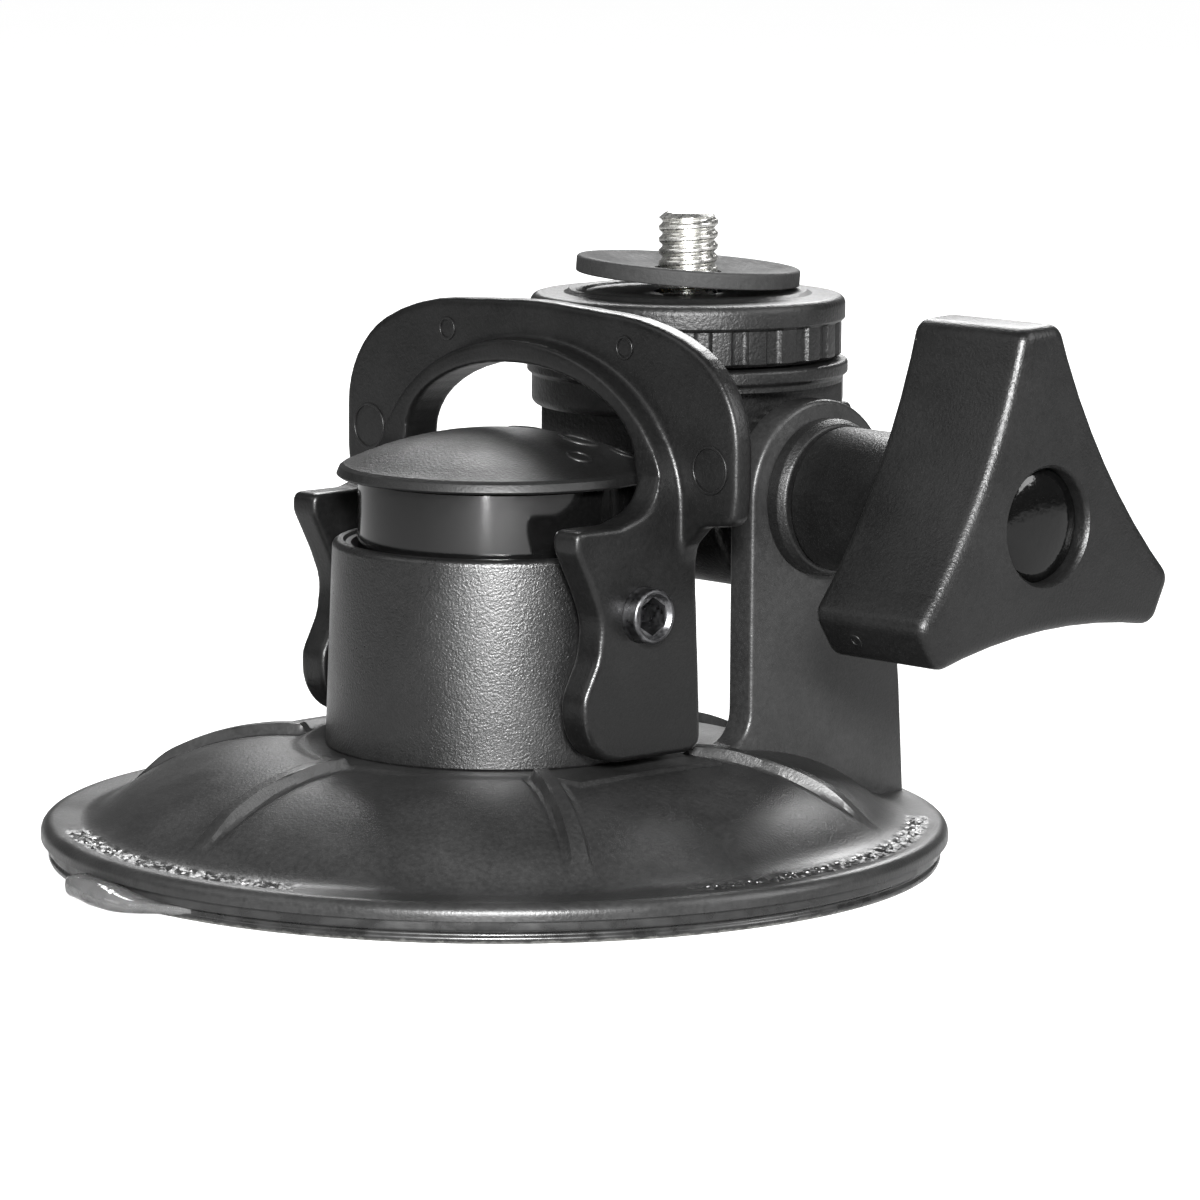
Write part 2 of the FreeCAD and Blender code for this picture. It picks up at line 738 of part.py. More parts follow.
def make_clamp_nut():
    nut = body("clamp_nut", base=(-s.block_half, s.tilt_reach, s.tilt_height), rotation=ALONG_X)
    drawing = sketch(nut, "XY_Plane")
    polygon(drawing, s.nut_half, 6)
    extrude(nut, "Pad", drawing, s.nut_thick)
    bore = sketch(nut, "XY_Plane")
    ring(bore, 0, 0, s.clamp_radius + s.running_gap)
    extrude(nut, "Pocket", bore, 12.0, both_ways=True)


def make_lock_wheel():
    """Jam wheel: a smooth band above a fluted one, with a raised disc on top."""
    wheel = body("lock_wheel", base=HEAD)
    fluted_top = s.wheel_low + 3.7
    turned(wheel, [
        (5.0, s.wheel_low),
        (s.wheel_radius - 0.4, s.wheel_low),
        (s.wheel_radius, s.wheel_low + 0.4),
        (s.wheel_radius, s.wheel_top - 1.3, 0.9),
        (s.wheel_radius - 0.9, s.wheel_top - 0.4),
        (12.9, s.wheel_top - 0.4),
        (12.5, s.wheel_top),
        (5.0, s.wheel_top),
    ])
    flute = sketch(wheel, "XY_Plane", shift=s.wheel_low - 0.5)
    reach = s.wheel_radius
    outline(flute, [
        (reach - 0.45, -1.05),
        (reach + 0.5, -1.3),
        (reach + 0.5, 1.3),
        (reach - 0.45, 1.05),
    ])
    cut = extrude(wheel, "Pocket", flute, fluted_top - s.wheel_low + 0.5, flip=True)
    repeated(wheel, cut, s.wheel_flutes)


def make_wheel_insert():
    bore = s.screw_radius + s.running_gap
    turned(body("wheel_insert", base=HEAD), [
        (bore, s.wheel_low),
        (5.0, s.wheel_low),
        (5.0, s.wheel_top - 0.1),
        (bore, s.wheel_top - 0.1),
    ])


def make_camera_pad():
    """Dished rubber washer, loose on the screw, so it leans."""
    lean = Rotation(Vector(-0.738, 0.674, 0), s.washer_lean.number)
    washer = body("camera_pad", base=(0, s.tilt_reach - s.screw_forward, s.washer_height), rotation=lean)
    half = s.washer_thick * 0.5
    bore = s.screw_radius + 0.4
    turned(washer, [
        (bore, -half),
        (s.washer_radius, -half),
        (s.washer_radius, half),
        (s.washer_radius - 1.2, half, -30.0),
        (bore, half - 0.7),
    ])


# ---------------------------------------------------------------- clamp knob

CLAMP = (0, s.tilt_reach, s.tilt_height)


def make_thrust_collar():
    bore = s.clamp_radius + s.running_gap
    start = s.post_outer + 0.05
    turned(body("thrust_collar", base=CLAMP, rotation=ALONG_X), [
        (bore, start),
        (s.collar_radius, start),
        (s.collar_radius, s.collar_end - 0.4),
        (s.collar_radius - 0.4, s.collar_end),
        (bore, s.collar_end),
    ])


def turned_spot(x, y, angle):
    """A point turned about the origin, still bound to its sizes."""
    c = math.cos(math.radians(angle))
    n = math.sin(math.radians(angle))
    return x * c - y * n, x * n + y * c


def make_knob():
    """Three-lobed knob on a round hub, with a recess in its front face."""
    knob = body("knob", base=CLAMP, rotation=ALONG_X)
    start = s.collar_end + 0.05
    hub_end = s.knob_back + 1.0
    turned(knob, [
        (s.clamp_radius, start),
        (s.hub_radius, start),
        (s.hub_radius, hub_end),
        (s.clamp_radius, hub_end),
    ])
    lobes = sketch(knob, "XY_Plane", shift=s.knob_back)
    corners = []
    for lobe in range(3):
        angle = 90 + s.knob_turned.number + 120 * lobe
        corners.append(turned_spot(s.knob_tip, -s.knob_tip_half, angle))
        corners.append(turned_spot(s.knob_tip, s.knob_tip_half, angle) + (-s.knob_hollow,))
    outline(lobes, corners)
    extrude(knob, "Pad", lobes, s.knob_front - s.knob_back)
    recess = [
        (0, s.knob_back - 1.0),
        (s.clamp_radius, s.knob_back - 1.0),
        (s.clamp_radius, s.knob_front - 12.0),
        (5.0, s.knob_front - 12.0),
        (5.0, s.knob_front - 8.0),
        (s.recess_radius, s.knob_front - 8.0),
        (s.recess_radius, s.knob_front + 1.0),
        (0, s.knob_front + 1.0),
    ]
    turned(knob, recess, kind="PartDesign::Groove")


def make_clamp_bolt():
    turned(body("clamp_bolt", base=CLAMP, rotation=ALONG_X), [
        (0, 0.1 - s.block_half),
        (s.clamp_radius, 0.1 - s.block_half),
        (s.clamp_radius, s.knob_front - 12.0),
        (5.0, s.knob_front - 12.0),
        (5.0, s.knob_front - 8.0),
        (0, s.knob_front - 8.0),
    ])


def make_knob_plug():
    turned(body("knob_plug", base=CLAMP, rotation=ALONG_X), [
        (0, s.knob_front - 8.0),
        (s.recess_radius - 0.03, s.knob_front - 8.0),
        (s.recess_radius - 0.03, s.knob_front - 2.4),
        (0, s.knob_front - 1.6),
    ])


# ---------------------------------------------------------------- make, check and write

for make in (
    make_housing, make_barrel, make_suction_pad, make_return_spring,
    make_plunger, make_dome_cap, make_cap_screw, make_pull_stem, make_stem_plate, make_pivot_pin,
    make_lever,
    make_tilt_block, make_camera_screw, make_tooth_ring, make_friction_washer, make_clamp_nut,
    make_lock_wheel, make_wheel_insert, make_camera_pad,
    make_thrust_collar, make_knob, make_clamp_bolt, make_knob_plug,
):
    make()
doc.recompute()

failed = [thing.Label for thing in doc.Objects if {"Invalid", "Error"} & set(thing.State)]
if failed:
    raise RuntimeError(f"these failed: {failed}")
for node in nodes:
    if node.Shape.isNull() or not node.Shape.isValid() or len(node.Shape.Solids) != 1:
        raise RuntimeError(f"{node.Label} isn't one valid solid")

os.makedirs("parts", exist_ok=True)
for node in nodes:
    node.Shape.exportStep(f"parts/{node.Label}.step")
    box = node.Shape.BoundBox
    low = f"({box.XMin:.2f}, {box.YMin:.2f}, {box.ZMin:.2f})"
    high = f"({box.XMax:.2f}, {box.YMax:.2f}, {box.ZMax:.2f})"
    print(f"{node.Label:16s} {node.Shape.Volume:10.1f} mm3  {low} to {high}")
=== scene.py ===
"""Looks of a suction-cup camera mount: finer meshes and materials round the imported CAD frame.

Shapes are written in millimetres in the CAD's frame and scaled to metres when a mesh is made.
"""
import math
import random

import bmesh
import bpy
from mathutils import Matrix, Vector, noise


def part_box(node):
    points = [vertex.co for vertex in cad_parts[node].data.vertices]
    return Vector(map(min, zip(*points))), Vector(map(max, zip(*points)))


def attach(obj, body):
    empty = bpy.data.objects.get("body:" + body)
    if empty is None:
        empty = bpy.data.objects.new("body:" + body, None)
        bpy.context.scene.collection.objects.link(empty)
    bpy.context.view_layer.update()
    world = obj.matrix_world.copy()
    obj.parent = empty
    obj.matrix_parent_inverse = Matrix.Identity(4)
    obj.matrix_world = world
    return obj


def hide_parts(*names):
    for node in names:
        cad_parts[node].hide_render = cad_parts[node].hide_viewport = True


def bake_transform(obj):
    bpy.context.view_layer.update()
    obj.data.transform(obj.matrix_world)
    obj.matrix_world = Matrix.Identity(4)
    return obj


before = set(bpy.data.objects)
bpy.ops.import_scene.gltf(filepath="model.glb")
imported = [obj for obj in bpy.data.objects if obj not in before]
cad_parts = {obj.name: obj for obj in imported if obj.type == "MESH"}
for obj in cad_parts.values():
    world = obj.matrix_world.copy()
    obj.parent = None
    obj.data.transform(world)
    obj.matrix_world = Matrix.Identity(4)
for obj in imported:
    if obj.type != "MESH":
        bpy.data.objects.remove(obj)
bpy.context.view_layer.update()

MM = 0.001
TAU = 2 * math.pi


def corners_mm(node):
    """Lowest and highest corners of a CAD node at rest, in millimetres."""
    low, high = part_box(node)
    return low / MM, high / MM


# Driving sizes, in millimetres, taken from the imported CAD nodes.
HOUSING_LOW, _ = corners_mm("housing")
BARREL_LOW, BARREL_HIGH = corners_mm("barrel")
SLEEVE_LOW, SLEEVE_HIGH = corners_mm("plunger")
CAP_LOW, CAP_HIGH = corners_mm("dome_cap")
_, PAD_HIGH = corners_mm("suction_pad")
LEVER_LOW, LEVER_HIGH = corners_mm("lever")
SCREW_LOW, SCREW_HIGH = corners_mm("camera_screw")
WHEEL_LOW, WHEEL_HIGH = corners_mm("lock_wheel")
_, BLOCK_HIGH = corners_mm("tilt_block")
COLLAR_LOW, COLLAR_HIGH = corners_mm("thrust_collar")
KNOB_LOW, KNOB_HIGH = corners_mm("knob")
PLUG_LOW, PLUG_HIGH = corners_mm("knob_plug")
PIN_LOW, PIN_HIGH = corners_mm("pivot_bolt")
WASHER_LOW, WASHER_HIGH = corners_mm("camera_pad")

# The wheel's top face and the washer show a little higher than their CAD solids lie.
WHEEL_TOP = max(WHEEL_HIGH.z, 57.8)
WASHER_MIDDLE = max((WASHER_LOW.z + WASHER_HIGH.z) / 2, 59.8)

RIM_RADIUS, RIM_THICK, RIM_ROUND = 47.5, 1.7, 1.2
RIM_UNDER = HOUSING_LOW.z
RIM_TOP = RIM_UNDER + RIM_THICK
LAND_TOP = BARREL_LOW.z
BARREL_FOOT = BARREL_HIGH.x
PIN_HEIGHT = (PIN_LOW.z + PIN_HIGH.z) / 2
PIN_RADIUS = (PIN_HIGH.z - PIN_LOW.z) / 2
SLEEVE_RADIUS = SLEEVE_HIGH.x
HEAD_Y = (SCREW_LOW.y + SCREW_HIGH.y) / 2
TILT_Y = (PLUG_LOW.y + PLUG_HIGH.y) / 2
TILT_Z = (PLUG_LOW.z + PLUG_HIGH.z) / 2
DRUM_TOP = BLOCK_HIGH.z
POST_INNER, POST_OUTER = 15.5, COLLAR_LOW.x - 0.05
EAR_RADIUS = 10.2
BLOCK_HALF, BLOCK_RADIUS, DRUM_RADIUS, DRUM_LOW = 13.5, 10.6, 16.7, 45.4
CLAMP_BORE = 3.0
ARM_INNER, ARM_OUTER = 18.4, 22.1


# ------------------------------------------------------------------ mesh helpers

ARC_STEP = 9.0      # degrees between neighbouring points of a rounded corner


def rounded(corners, closed=True):
    """Points of an outline whose corners (x, y, radius) are rounded by arcs."""
    points = []
    count = len(corners)
    for number, corner in enumerate(corners):
        here = Vector(corner[:2])
        radius = corner[2] if len(corner) > 2 else 0
        at_end = not closed and number in (0, count - 1)
        if not radius or at_end:
            points.append((here.x, here.y))
            continue
        back = (Vector(corners[number - 1][:2]) - here).normalized()
        onward = (Vector(corners[(number + 1) % count][:2]) - here).normalized()
        opening = back.angle(onward)
        reach = radius / math.tan(opening / 2)
        centre = here + (back + onward).normalized() * (radius / math.sin(opening / 2))
        first = here + back * reach - centre
        sweep = math.pi - opening
        if back.cross(onward) > 0:
            sweep = -sweep
        pieces = max(2, math.ceil(abs(math.degrees(sweep)) / ARC_STEP))
        for k in range(pieces + 1):
            turn = Matrix.Rotation(sweep * k / pieces, 2)
            spot = centre + turn @ first
            points.append((spot.x, spot.y))
    return points


def arc(cx, cy, rx, ry, start, end, pieces):
    """Points of an elliptical arc between two angles in degrees."""
    turns = [math.radians(start + (end - start) * k / pieces) for k in range(pieces + 1)]
    return [(cx + rx * math.cos(t), cy + ry * math.sin(t)) for t in turns]


def new_object(name, bm, angle=32):
    """Turns a bmesh in millimetres into a smooth object in metres."""
    bmesh.ops.recalc_face_normals(bm, faces=bm.faces)
    bmesh.ops.scale(bm, vec=(MM,) * 3, verts=bm.verts)
    mesh = bpy.data.meshes.new(name)
    bm.to_mesh(mesh)
    bm.free()
    made = bpy.data.objects.new(name, mesh)
    bpy.context.scene.collection.objects.link(made)
    shade(made, angle)
    return made


def shade(thing, angle=32):
    """Smooth shading that keeps edges sharper than the angle, in degrees."""
    mesh = thing.data
    mesh.polygons.foreach_set("use_smooth", [True] * len(mesh.polygons))
    mesh.set_sharp_from_angle(angle=math.radians(angle))


def bake(thing, angle=32):
    """Applies the modifiers of an object to its mesh."""
    graph = bpy.context.evaluated_depsgraph_get()
    mesh = bpy.data.meshes.new_from_object(thing.evaluated_get(graph))
    thing.modifiers.clear()
    thing.data = mesh
    shade(thing, angle)
    return thing


def skin(bm, rings, close_around=True):
    """Quads between neighbouring closed rings of points."""
    rows = [[bm.verts.new(p) for p in ring] for ring in rings]
    count = len(rows[0])
    last = len(rows) if close_around else len(rows) - 1
    for i in range(last):
        a, b = rows[i], rows[(i + 1) % len(rows)]
        for j in range(count):
            k = (j + 1) % count
            bm.faces.new((a[j], b[j], b[k], a[k]))


def lathe(name, profile, steps=192, place=None, angle=32):
    """Turns a closed half section (radius, height) about Z, then moves it by place."""
    bm = bmesh.new()
    rings = []
    for k in range(steps):
        c, n = math.cos(TAU * k / steps), math.sin(TAU * k / steps)
        rings.append([(r * c, r * n, z) for r, z in profile])
    skin(bm, rings)
    bmesh.ops.remove_doubles(bm, verts=bm.verts, dist=1e-5)
    bmesh.ops.dissolve_degenerate(bm, edges=bm.edges, dist=1e-6)
    if place:
        bmesh.ops.transform(bm, matrix=place, verts=bm.verts)
    return new_object(name, bm, angle)


def prism(name, outline, low, high, axis="Z", bevel=0.0, segments=3, angle=32):
    """A straight prism with rounded rims.

    Its outline is written as (Y, Z) for the X axis, (X, Z) for Y and (X, Y) for Z.
    """
    spot = {
        "X": lambda u, v, w: (w, u, v),
        "Y": lambda u, v, w: (u, w, v),
        "Z": lambda u, v, w: (u, v, w),
    }[axis]
    bm = bmesh.new()
    lower = [bm.verts.new(spot(u, v, low)) for u, v in outline]
    upper = [bm.verts.new(spot(u, v, high)) for u, v in outline]
    bm.faces.new(lower)
    bm.faces.new(upper)
    for k in range(len(outline)):
        n = (k + 1) % len(outline)
        bm.faces.new((lower[k], lower[n], upper[n], upper[k]))
    made = new_object(name, bm, angle)
    if bevel:
        edge = made.modifiers.new("edge", "BEVEL")
        edge.width = bevel * MM
        edge.segments = segments
        edge.limit_method = "ANGLE"
        edge.angle_limit = math.radians(50)
        edge.use_clamp_overlap = True
        bake(made, angle)
    return made


def combine(target, tool, operation="UNION", angle=32):
    """Joins or cuts two closed solids and removes the second."""
    step = target.modifiers.new("combine", "BOOLEAN")
    step.operation = operation
    step.solver = "EXACT"
    step.object = tool
    bake(target, angle)
    bpy.data.objects.remove(tool)
    return target


def merge(target, *others):
    """Adds other objects' meshes to a first one, as separate shells."""
    bm = bmesh.new()
    for thing in (target, *others):
        bm.from_mesh(thing.data)
    bm.to_mesh(target.data)
    bm.free()
    for thing in others:
        bpy.data.objects.remove(thing)
    shade(target)
    return target


def melt(thing, voxel, smooth):
    """Fuses overlapping shells into one skin with softly rounded joins."""
    step = thing.modifiers.new("fuse", "REMESH")
    step.mode = "VOXEL"
    step.voxel_size = voxel * MM
    soften = thing.modifiers.new("soften", "SMOOTH")
    soften.factor = 0.5
    soften.iterations = smooth
    return bake(thing, 60)


# Places for shapes that are made about Z: on the clamp's axis, on the screw's and on the lever pin's.
ALONG_X = Matrix(((0, 0, 1, 0), (1, 0, 0, 0), (0, 1, 0, 0), (0, 0, 0, 1)))
CLAMP = Matrix.Translation((0, TILT_Y, TILT_Z)) @ ALONG_X
HEAD = Matrix.Translation((0, HEAD_Y, 0))
PIN = Matrix.Translation((0, 0, PIN_HEIGHT)) @ ALONG_X


# ------------------------------------------------------------------ materials

def ramp(tree, source, stops):
    """A colour ramp fed by source; stops are (position, grey or colour)."""
    node = tree.nodes.new("ShaderNodeValToRGB")
    elements = node.color_ramp.elements
    while len(elements) < len(stops):
        elements.new(0.5)
    for element, (position, value) in zip(elements, stops):
        element.position = position
        tone = value if isinstance(value, tuple) else (value,) * 3
        element.color = (*tone, 1)
    tree.links.new(source, node.inputs["Fac"])
    return node.outputs["Color"]


def texture(tree, kind, grain_mm, detail=2.0, **settings):
    """A procedural texture in object space whose cells are about grain_mm wide."""
    place = tree.nodes.get("place") or tree.nodes.new("ShaderNodeTexCoord")
    place.name = "place"
    node = tree.nodes.new(kind)
    node.inputs["Scale"].default_value = 1 / (grain_mm * MM)
    if "Detail" in node.inputs:
        node.inputs["Detail"].default_value = detail
    for key, value in settings.items():
        node.inputs[key].default_value = value
    tree.links.new(place.outputs["Object"], node.inputs["Vector"])
    return node


def mix_colour(tree, factor, first, second, blend="MIX"):
    """A colour mix; each input is a number, a colour or another node's output."""
    node = tree.nodes.new("ShaderNodeMix")
    node.data_type = "RGBA"
    node.blend_type = blend
    factor_socket, first_socket, second_socket = node.inputs[0], node.inputs[6], node.inputs[7]
    for socket, value in ((factor_socket, factor), (first_socket, first), (second_socket, second)):
        if isinstance(value, (int, float)):
            socket.default_value = value
        elif isinstance(value, tuple):
            socket.default_value = (*value, 1)
        else:
            tree.links.new(value, socket)
    return node.outputs[2]


def bump(tree, height, depth_mm, after=None):
    """A bump of the given depth, laid over another one when after is given."""
    node = tree.nodes.new("ShaderNodeBump")
    node.inputs["Strength"].default_value = 1.0
    node.inputs["Distance"].default_value = depth_mm * MM
    tree.links.new(height, node.inputs["Height"])
    if after:
        tree.links.new(after, node.inputs["Normal"])
    return node.outputs["Normal"]


def shader(name, roughness=0.5, metallic=0.0, **sockets):
    """A new material with its node tree and its Principled shader."""
    material = bpy.data.materials.new(name)
    material.use_nodes = True
    tree = material.node_tree
    surface = tree.nodes["Principled BSDF"]
    surface.inputs["Roughness"].default_value = roughness
    surface.inputs["Metallic"].default_value = metallic
    for key, value in sockets.items():
        surface.inputs[key.replace("_", " ")].default_value = value
    return material, tree, surface


TONE_SPREAD = 0.25                  # how far a plastic's colour wanders, as a share of its tone
PALE_DUST = (0.30, 0.30, 0.29)
DRY_GRIME = (0.16, 0.16, 0.15)


def plastic(name, tone, rough, grain_mm, grain_depth, dust=0.5, worn=0.0, shine=0.4):
    """Moulded black plastic: spark or etched grain, cloudy gloss, specks of pale dust."""
    material, tree, surface = shader(name, Specular_IOR_Level=shine)
    cloud = texture(tree, "ShaderNodeTexNoise", 9.0, detail=3.0)
    fine = texture(tree, "ShaderNodeTexNoise", 0.55, detail=4.0, Roughness=0.7)
    low, high = tone * (1 - TONE_SPREAD), tone * (1 + TONE_SPREAD)
    colour = ramp(tree, cloud.outputs["Fac"], [(0.3, low), (0.7, high)])
    mottle = ramp(tree, fine.outputs["Fac"], [(0.35, 0.75), (0.75, 1.3)])
    colour = mix_colour(tree, 1.0, colour, mottle, "MULTIPLY")
    speck = texture(tree, "ShaderNodeTexVoronoi", 1.15)
    spot = ramp(tree, speck.outputs["Distance"], [(0.0, dust), (0.085, 0.0)])
    colour = mix_colour(tree, spot, colour, PALE_DUST)
    tree.links.new(colour, surface.inputs["Base Color"])
    gloss = ramp(tree, cloud.outputs["Fac"], [(0.3, rough * 0.86), (0.7, min(1.0, rough * 1.16))])
    gloss = mix_colour(tree, 0.35, gloss, mottle, "MULTIPLY")
    tree.links.new(gloss, surface.inputs["Roughness"])
    grain = texture(tree, "ShaderNodeTexNoise", grain_mm, detail=3.0, Roughness=0.6)
    normal = bump(tree, grain.outputs["Fac"], grain_depth)
    if worn:
        long_wave = texture(tree, "ShaderNodeTexNoise", grain_mm * 6, detail=2.0)
        normal = bump(tree, long_wave.outputs["Fac"], worn, after=normal)
    tree.links.new(normal, surface.inputs["Normal"])
    return material


def metal(name, low, high, rough):
    """Plated or turned metal with cloudy tarnish and fine scratches."""
    material, tree, surface = shader(name, metallic=1.0)
    cloud = texture(tree, "ShaderNodeTexNoise", 2.2, detail=5.0)
    colour = ramp(tree, cloud.outputs["Fac"], [(0.35, low), (0.65, high)])
    tree.links.new(colour, surface.inputs["Base Color"])
    fine = texture(tree, "ShaderNodeTexNoise", 0.5, detail=4.0)
    gloss = ramp(tree, fine.outputs["Fac"], [(0.3, rough * 0.7), (0.75, min(1.0, rough * 1.5))])
    tree.links.new(gloss, surface.inputs["Roughness"])
    tree.links.new(bump(tree, fine.outputs["Fac"], 0.01), surface.inputs["Normal"])
    return material


def urethane(name, tone, clear, rough, depth, dusty=False):
    """Soft see-through urethane with haze and ripples, and with grime near the ground where dusty."""
    material, tree, surface = shader(name, IOR=1.47)
    surface.inputs["Transmission Weight"].default_value = clear
    haze = texture(tree, "ShaderNodeTexNoise", 3.0, detail=4.0)
    colour = ramp(tree, haze.outputs["Fac"], [(0.35, tone[0]), (0.7, tone[1])])
    if dusty:
        parts = tree.nodes.new("ShaderNodeSeparateXYZ")
        tree.links.new(tree.nodes["place"].outputs["Object"], parts.inputs["Vector"])
        height = tree.nodes.new("ShaderNodeMapRange")
        height.inputs["From Max"].default_value = 0.7 * MM
        tree.links.new(parts.outputs["Z"], height.inputs["Value"])
        patches = texture(tree, "ShaderNodeTexNoise", 0.8, detail=5.0)
        grime = mix_colour(tree, 0.5, height.outputs["Result"], patches.outputs["Fac"])
        grime = ramp(tree, grime, [(0.22, 0.8), (0.5, 0.0)])
        colour = mix_colour(tree, grime, colour, DRY_GRIME)
    tree.links.new(colour, surface.inputs["Base Color"])
    gloss = ramp(tree, haze.outputs["Fac"], [(0.3, rough * 0.6), (0.7, rough * 1.5)])
    tree.links.new(gloss, surface.inputs["Roughness"])
    ripple = texture(tree, "ShaderNodeTexNoise", 1.6, detail=3.0)
    tree.links.new(bump(tree, ripple.outputs["Fac"], depth), surface.inputs["Normal"])
    return material


DOME = plastic("dome_plastic", 0.012, 0.38, 0.34, 0.032, dust=0.45, worn=0.02, shine=0.35)
SPARK = plastic("barrel_spark_plastic", 0.004, 0.33, 0.25, 0.062, dust=0.30, shine=0.5)
GLOSS = plastic("plunger_gloss_plastic", 0.002, 0.13, 1.6, 0.006, dust=0.2, worn=0.01, shine=0.45)
CAP = plastic("cap_satin_plastic", 0.0035, 0.47, 0.30, 0.046, dust=0.4, shine=0.35)
LEVER = plastic("lever_satin_plastic", 0.003, 0.37, 0.34, 0.034, dust=0.5, shine=0.3)
HEAD_PLASTIC = plastic("head_grained_plastic", 0.004, 0.42, 0.42, 0.085, dust=0.45, shine=0.35)
KNOB = plastic("knob_grained_plastic", 0.0035, 0.39, 0.30, 0.055, dust=0.45, shine=0.3)
RUBBER = plastic("washer_rubber", 0.012, 0.72, 0.42, 0.060, dust=0.35, shine=0.3)
FIBRE = plastic("fibre_washer", 0.045, 0.85, 0.25, 0.030)
PLUG = plastic("plug_gloss_plastic", 0.001, 0.10, 1.1, 0.030, dust=0.7, shine=0.3)
PAD = urethane("smoky_urethane", (0.006, 0.016), 0.15, 0.30, 0.02, dusty=True)
CLEAR = urethane("clear_urethane", (0.42, 0.66), 0.9, 0.08, 0.16)
SILVER = metal("zinc_plate", (0.60, 0.60, 0.57), (0.78, 0.77, 0.74), 0.26)
DARK_STEEL = metal("dark_steel", (0.05, 0.05, 0.052), (0.16, 0.16, 0.165), 0.36)
BRASS = metal("turned_brass", (0.62, 0.44, 0.18), (0.78, 0.60, 0.30), 0.30)


def dress(thing, material, body=None, replaces=()):
    """Gives a piece its material, its body and the CAD nodes it stands for."""
    thing.data.materials.clear()
    thing.data.materials.append(material)
    if body:
        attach(thing, body)
    if replaces:
        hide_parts(*replaces)
    return thing


# ------------------------------------------------------------------ camera, lights and floor

# The view, in metres: over half a metre away, 8.6 degrees above the level and 47.6 degrees round.
CAMERA_PLACE = (0.4141, -0.3781, 0.1096)
VIEW_FORWARD = Vector((-0.7302, 0.6668, -0.1491))
VIEW_RIGHT = Vector((0.6743, 0.7384, 0.0))
AIM_RIGHT, AIM_UP = 0.01912, 0.003067
ROLL_DEGREES = 0.333
SENSOR_MM, LENS_MM = 36.0, 162.882

# Name, azimuth and elevation in degrees, distance and size in metres, power in watts.
LIGHTS = (
    ("key", 49, 19, 0.75, (0.11, 0.11), 22.0),
    ("strip", 39, 12, 0.9, (0.06, 0.5), 6.0),
    ("left_soft", -25, 36, 0.8, (0.5, 0.4), 1.2),
    ("right_soft", 122, 30, 0.8, (0.25, 0.5), 4.0),
    ("back_soft", 218, 38, 0.9, (0.5, 0.4), 10.0),
)
LIGHT_TARGET = Vector((0.0, 0.012, 0.03))
WORLD_LIGHT = (0.15, 0.15, 0.15)
WHITE = (1.0, 1.0, 1.0)


def make_camera():
    """A long lens along the view's direction, turned slightly to frame the object, with a small roll."""
    up = VIEW_RIGHT.cross(VIEW_FORWARD)
    aim = (VIEW_FORWARD + AIM_RIGHT * VIEW_RIGHT + AIM_UP * up).normalized()
    side = aim.cross(Vector((0, 0, 1))).normalized()
    roll = math.radians(ROLL_DEGREES)
    tilted = (side * math.cos(roll) + side.cross(aim) * math.sin(roll)).normalized()
    top = tilted.cross(aim)
    data = bpy.data.cameras.new("camera")
    data.sensor_width = SENSOR_MM
    data.lens = LENS_MM
    data.clip_start = 0.02
    data.clip_end = 60.0
    camera = bpy.data.objects.new("camera", data)
    turn = Matrix((tilted, top, -aim)).transposed().to_4x4()
    camera.matrix_world = Matrix.Translation(CAMERA_PLACE) @ turn
    bpy.context.scene.collection.objects.link(camera)
    bpy.context.scene.camera = camera


def make_light(name, azimuth, elevation, distance, size, power):
    """An area light aimed at the object; azimuth 0 stands at -Y, as the views do."""
    data = bpy.data.lights.new(name, "AREA")
    data.shape = "RECTANGLE"
    data.size, data.size_y = size
    data.energy = power
    lamp = bpy.data.objects.new(name, data)
    a, e = math.radians(azimuth), math.radians(elevation)
    place = Vector((math.sin(a) * math.cos(e), -math.cos(a) * math.cos(e), math.sin(e))) * distance
    lamp.location = LIGHT_TARGET + place
    lamp.rotation_euler = (-place).to_track_quat("-Z", "Y").to_euler()
    bpy.context.scene.collection.objects.link(lamp)


def make_floor():
    """A pale floor that looks nearly white to the camera and lights the object only as a grey one would."""
    bm = bmesh.new()
    bmesh.ops.create_grid(bm, x_segments=1, y_segments=1, size=9000)
    bmesh.ops.translate(bm, vec=(0, 0, -0.02), verts=bm.verts)
    floor = new_object("floor", bm)
    material, tree, surface = shader("pale_floor", roughness=0.85)
    soft = texture(tree, "ShaderNodeTexNoise", 160.0)
    tone = ramp(tree, soft.outputs["Fac"], [(0.3, 0.38), (0.7, 0.40)])
    tree.links.new(tone, surface.inputs["Base Color"])
    surface.inputs["Specular IOR Level"].default_value = 0.1
    surface.inputs["Emission Color"].default_value = (*WHITE, 1)
    seen = tree.nodes.new("ShaderNodeLightPath")
    lift = tree.nodes.new("ShaderNodeMath")
    lift.operation = "MULTIPLY"
    lift.inputs[1].default_value = 0.92
    tree.links.new(seen.outputs["Is Camera Ray"], lift.inputs[0])
    tree.links.new(lift.outputs["Value"], surface.inputs["Emission Strength"])
    floor.data.materials.append(material)


def make_world():
    """Surroundings that are white to the camera and dim to everything else."""
    world = bpy.data.worlds.new("studio")
    bpy.context.scene.world = world
    world.use_nodes = True
    tree = world.node_tree
    seen = tree.nodes.new("ShaderNodeLightPath")
    tone = mix_colour(tree, seen.outputs["Is Camera Ray"], WORLD_LIGHT, WHITE)
    tree.links.new(tone, tree.nodes["Background"].inputs["Color"])


def make_stage():
    """Floor, surroundings and lights."""
    make_floor()
    make_world()
    for light in LIGHTS:
        make_light(*light)
    bpy.context.scene.view_settings.view_transform = "Standard"


# ------------------------------------------------------------------ base

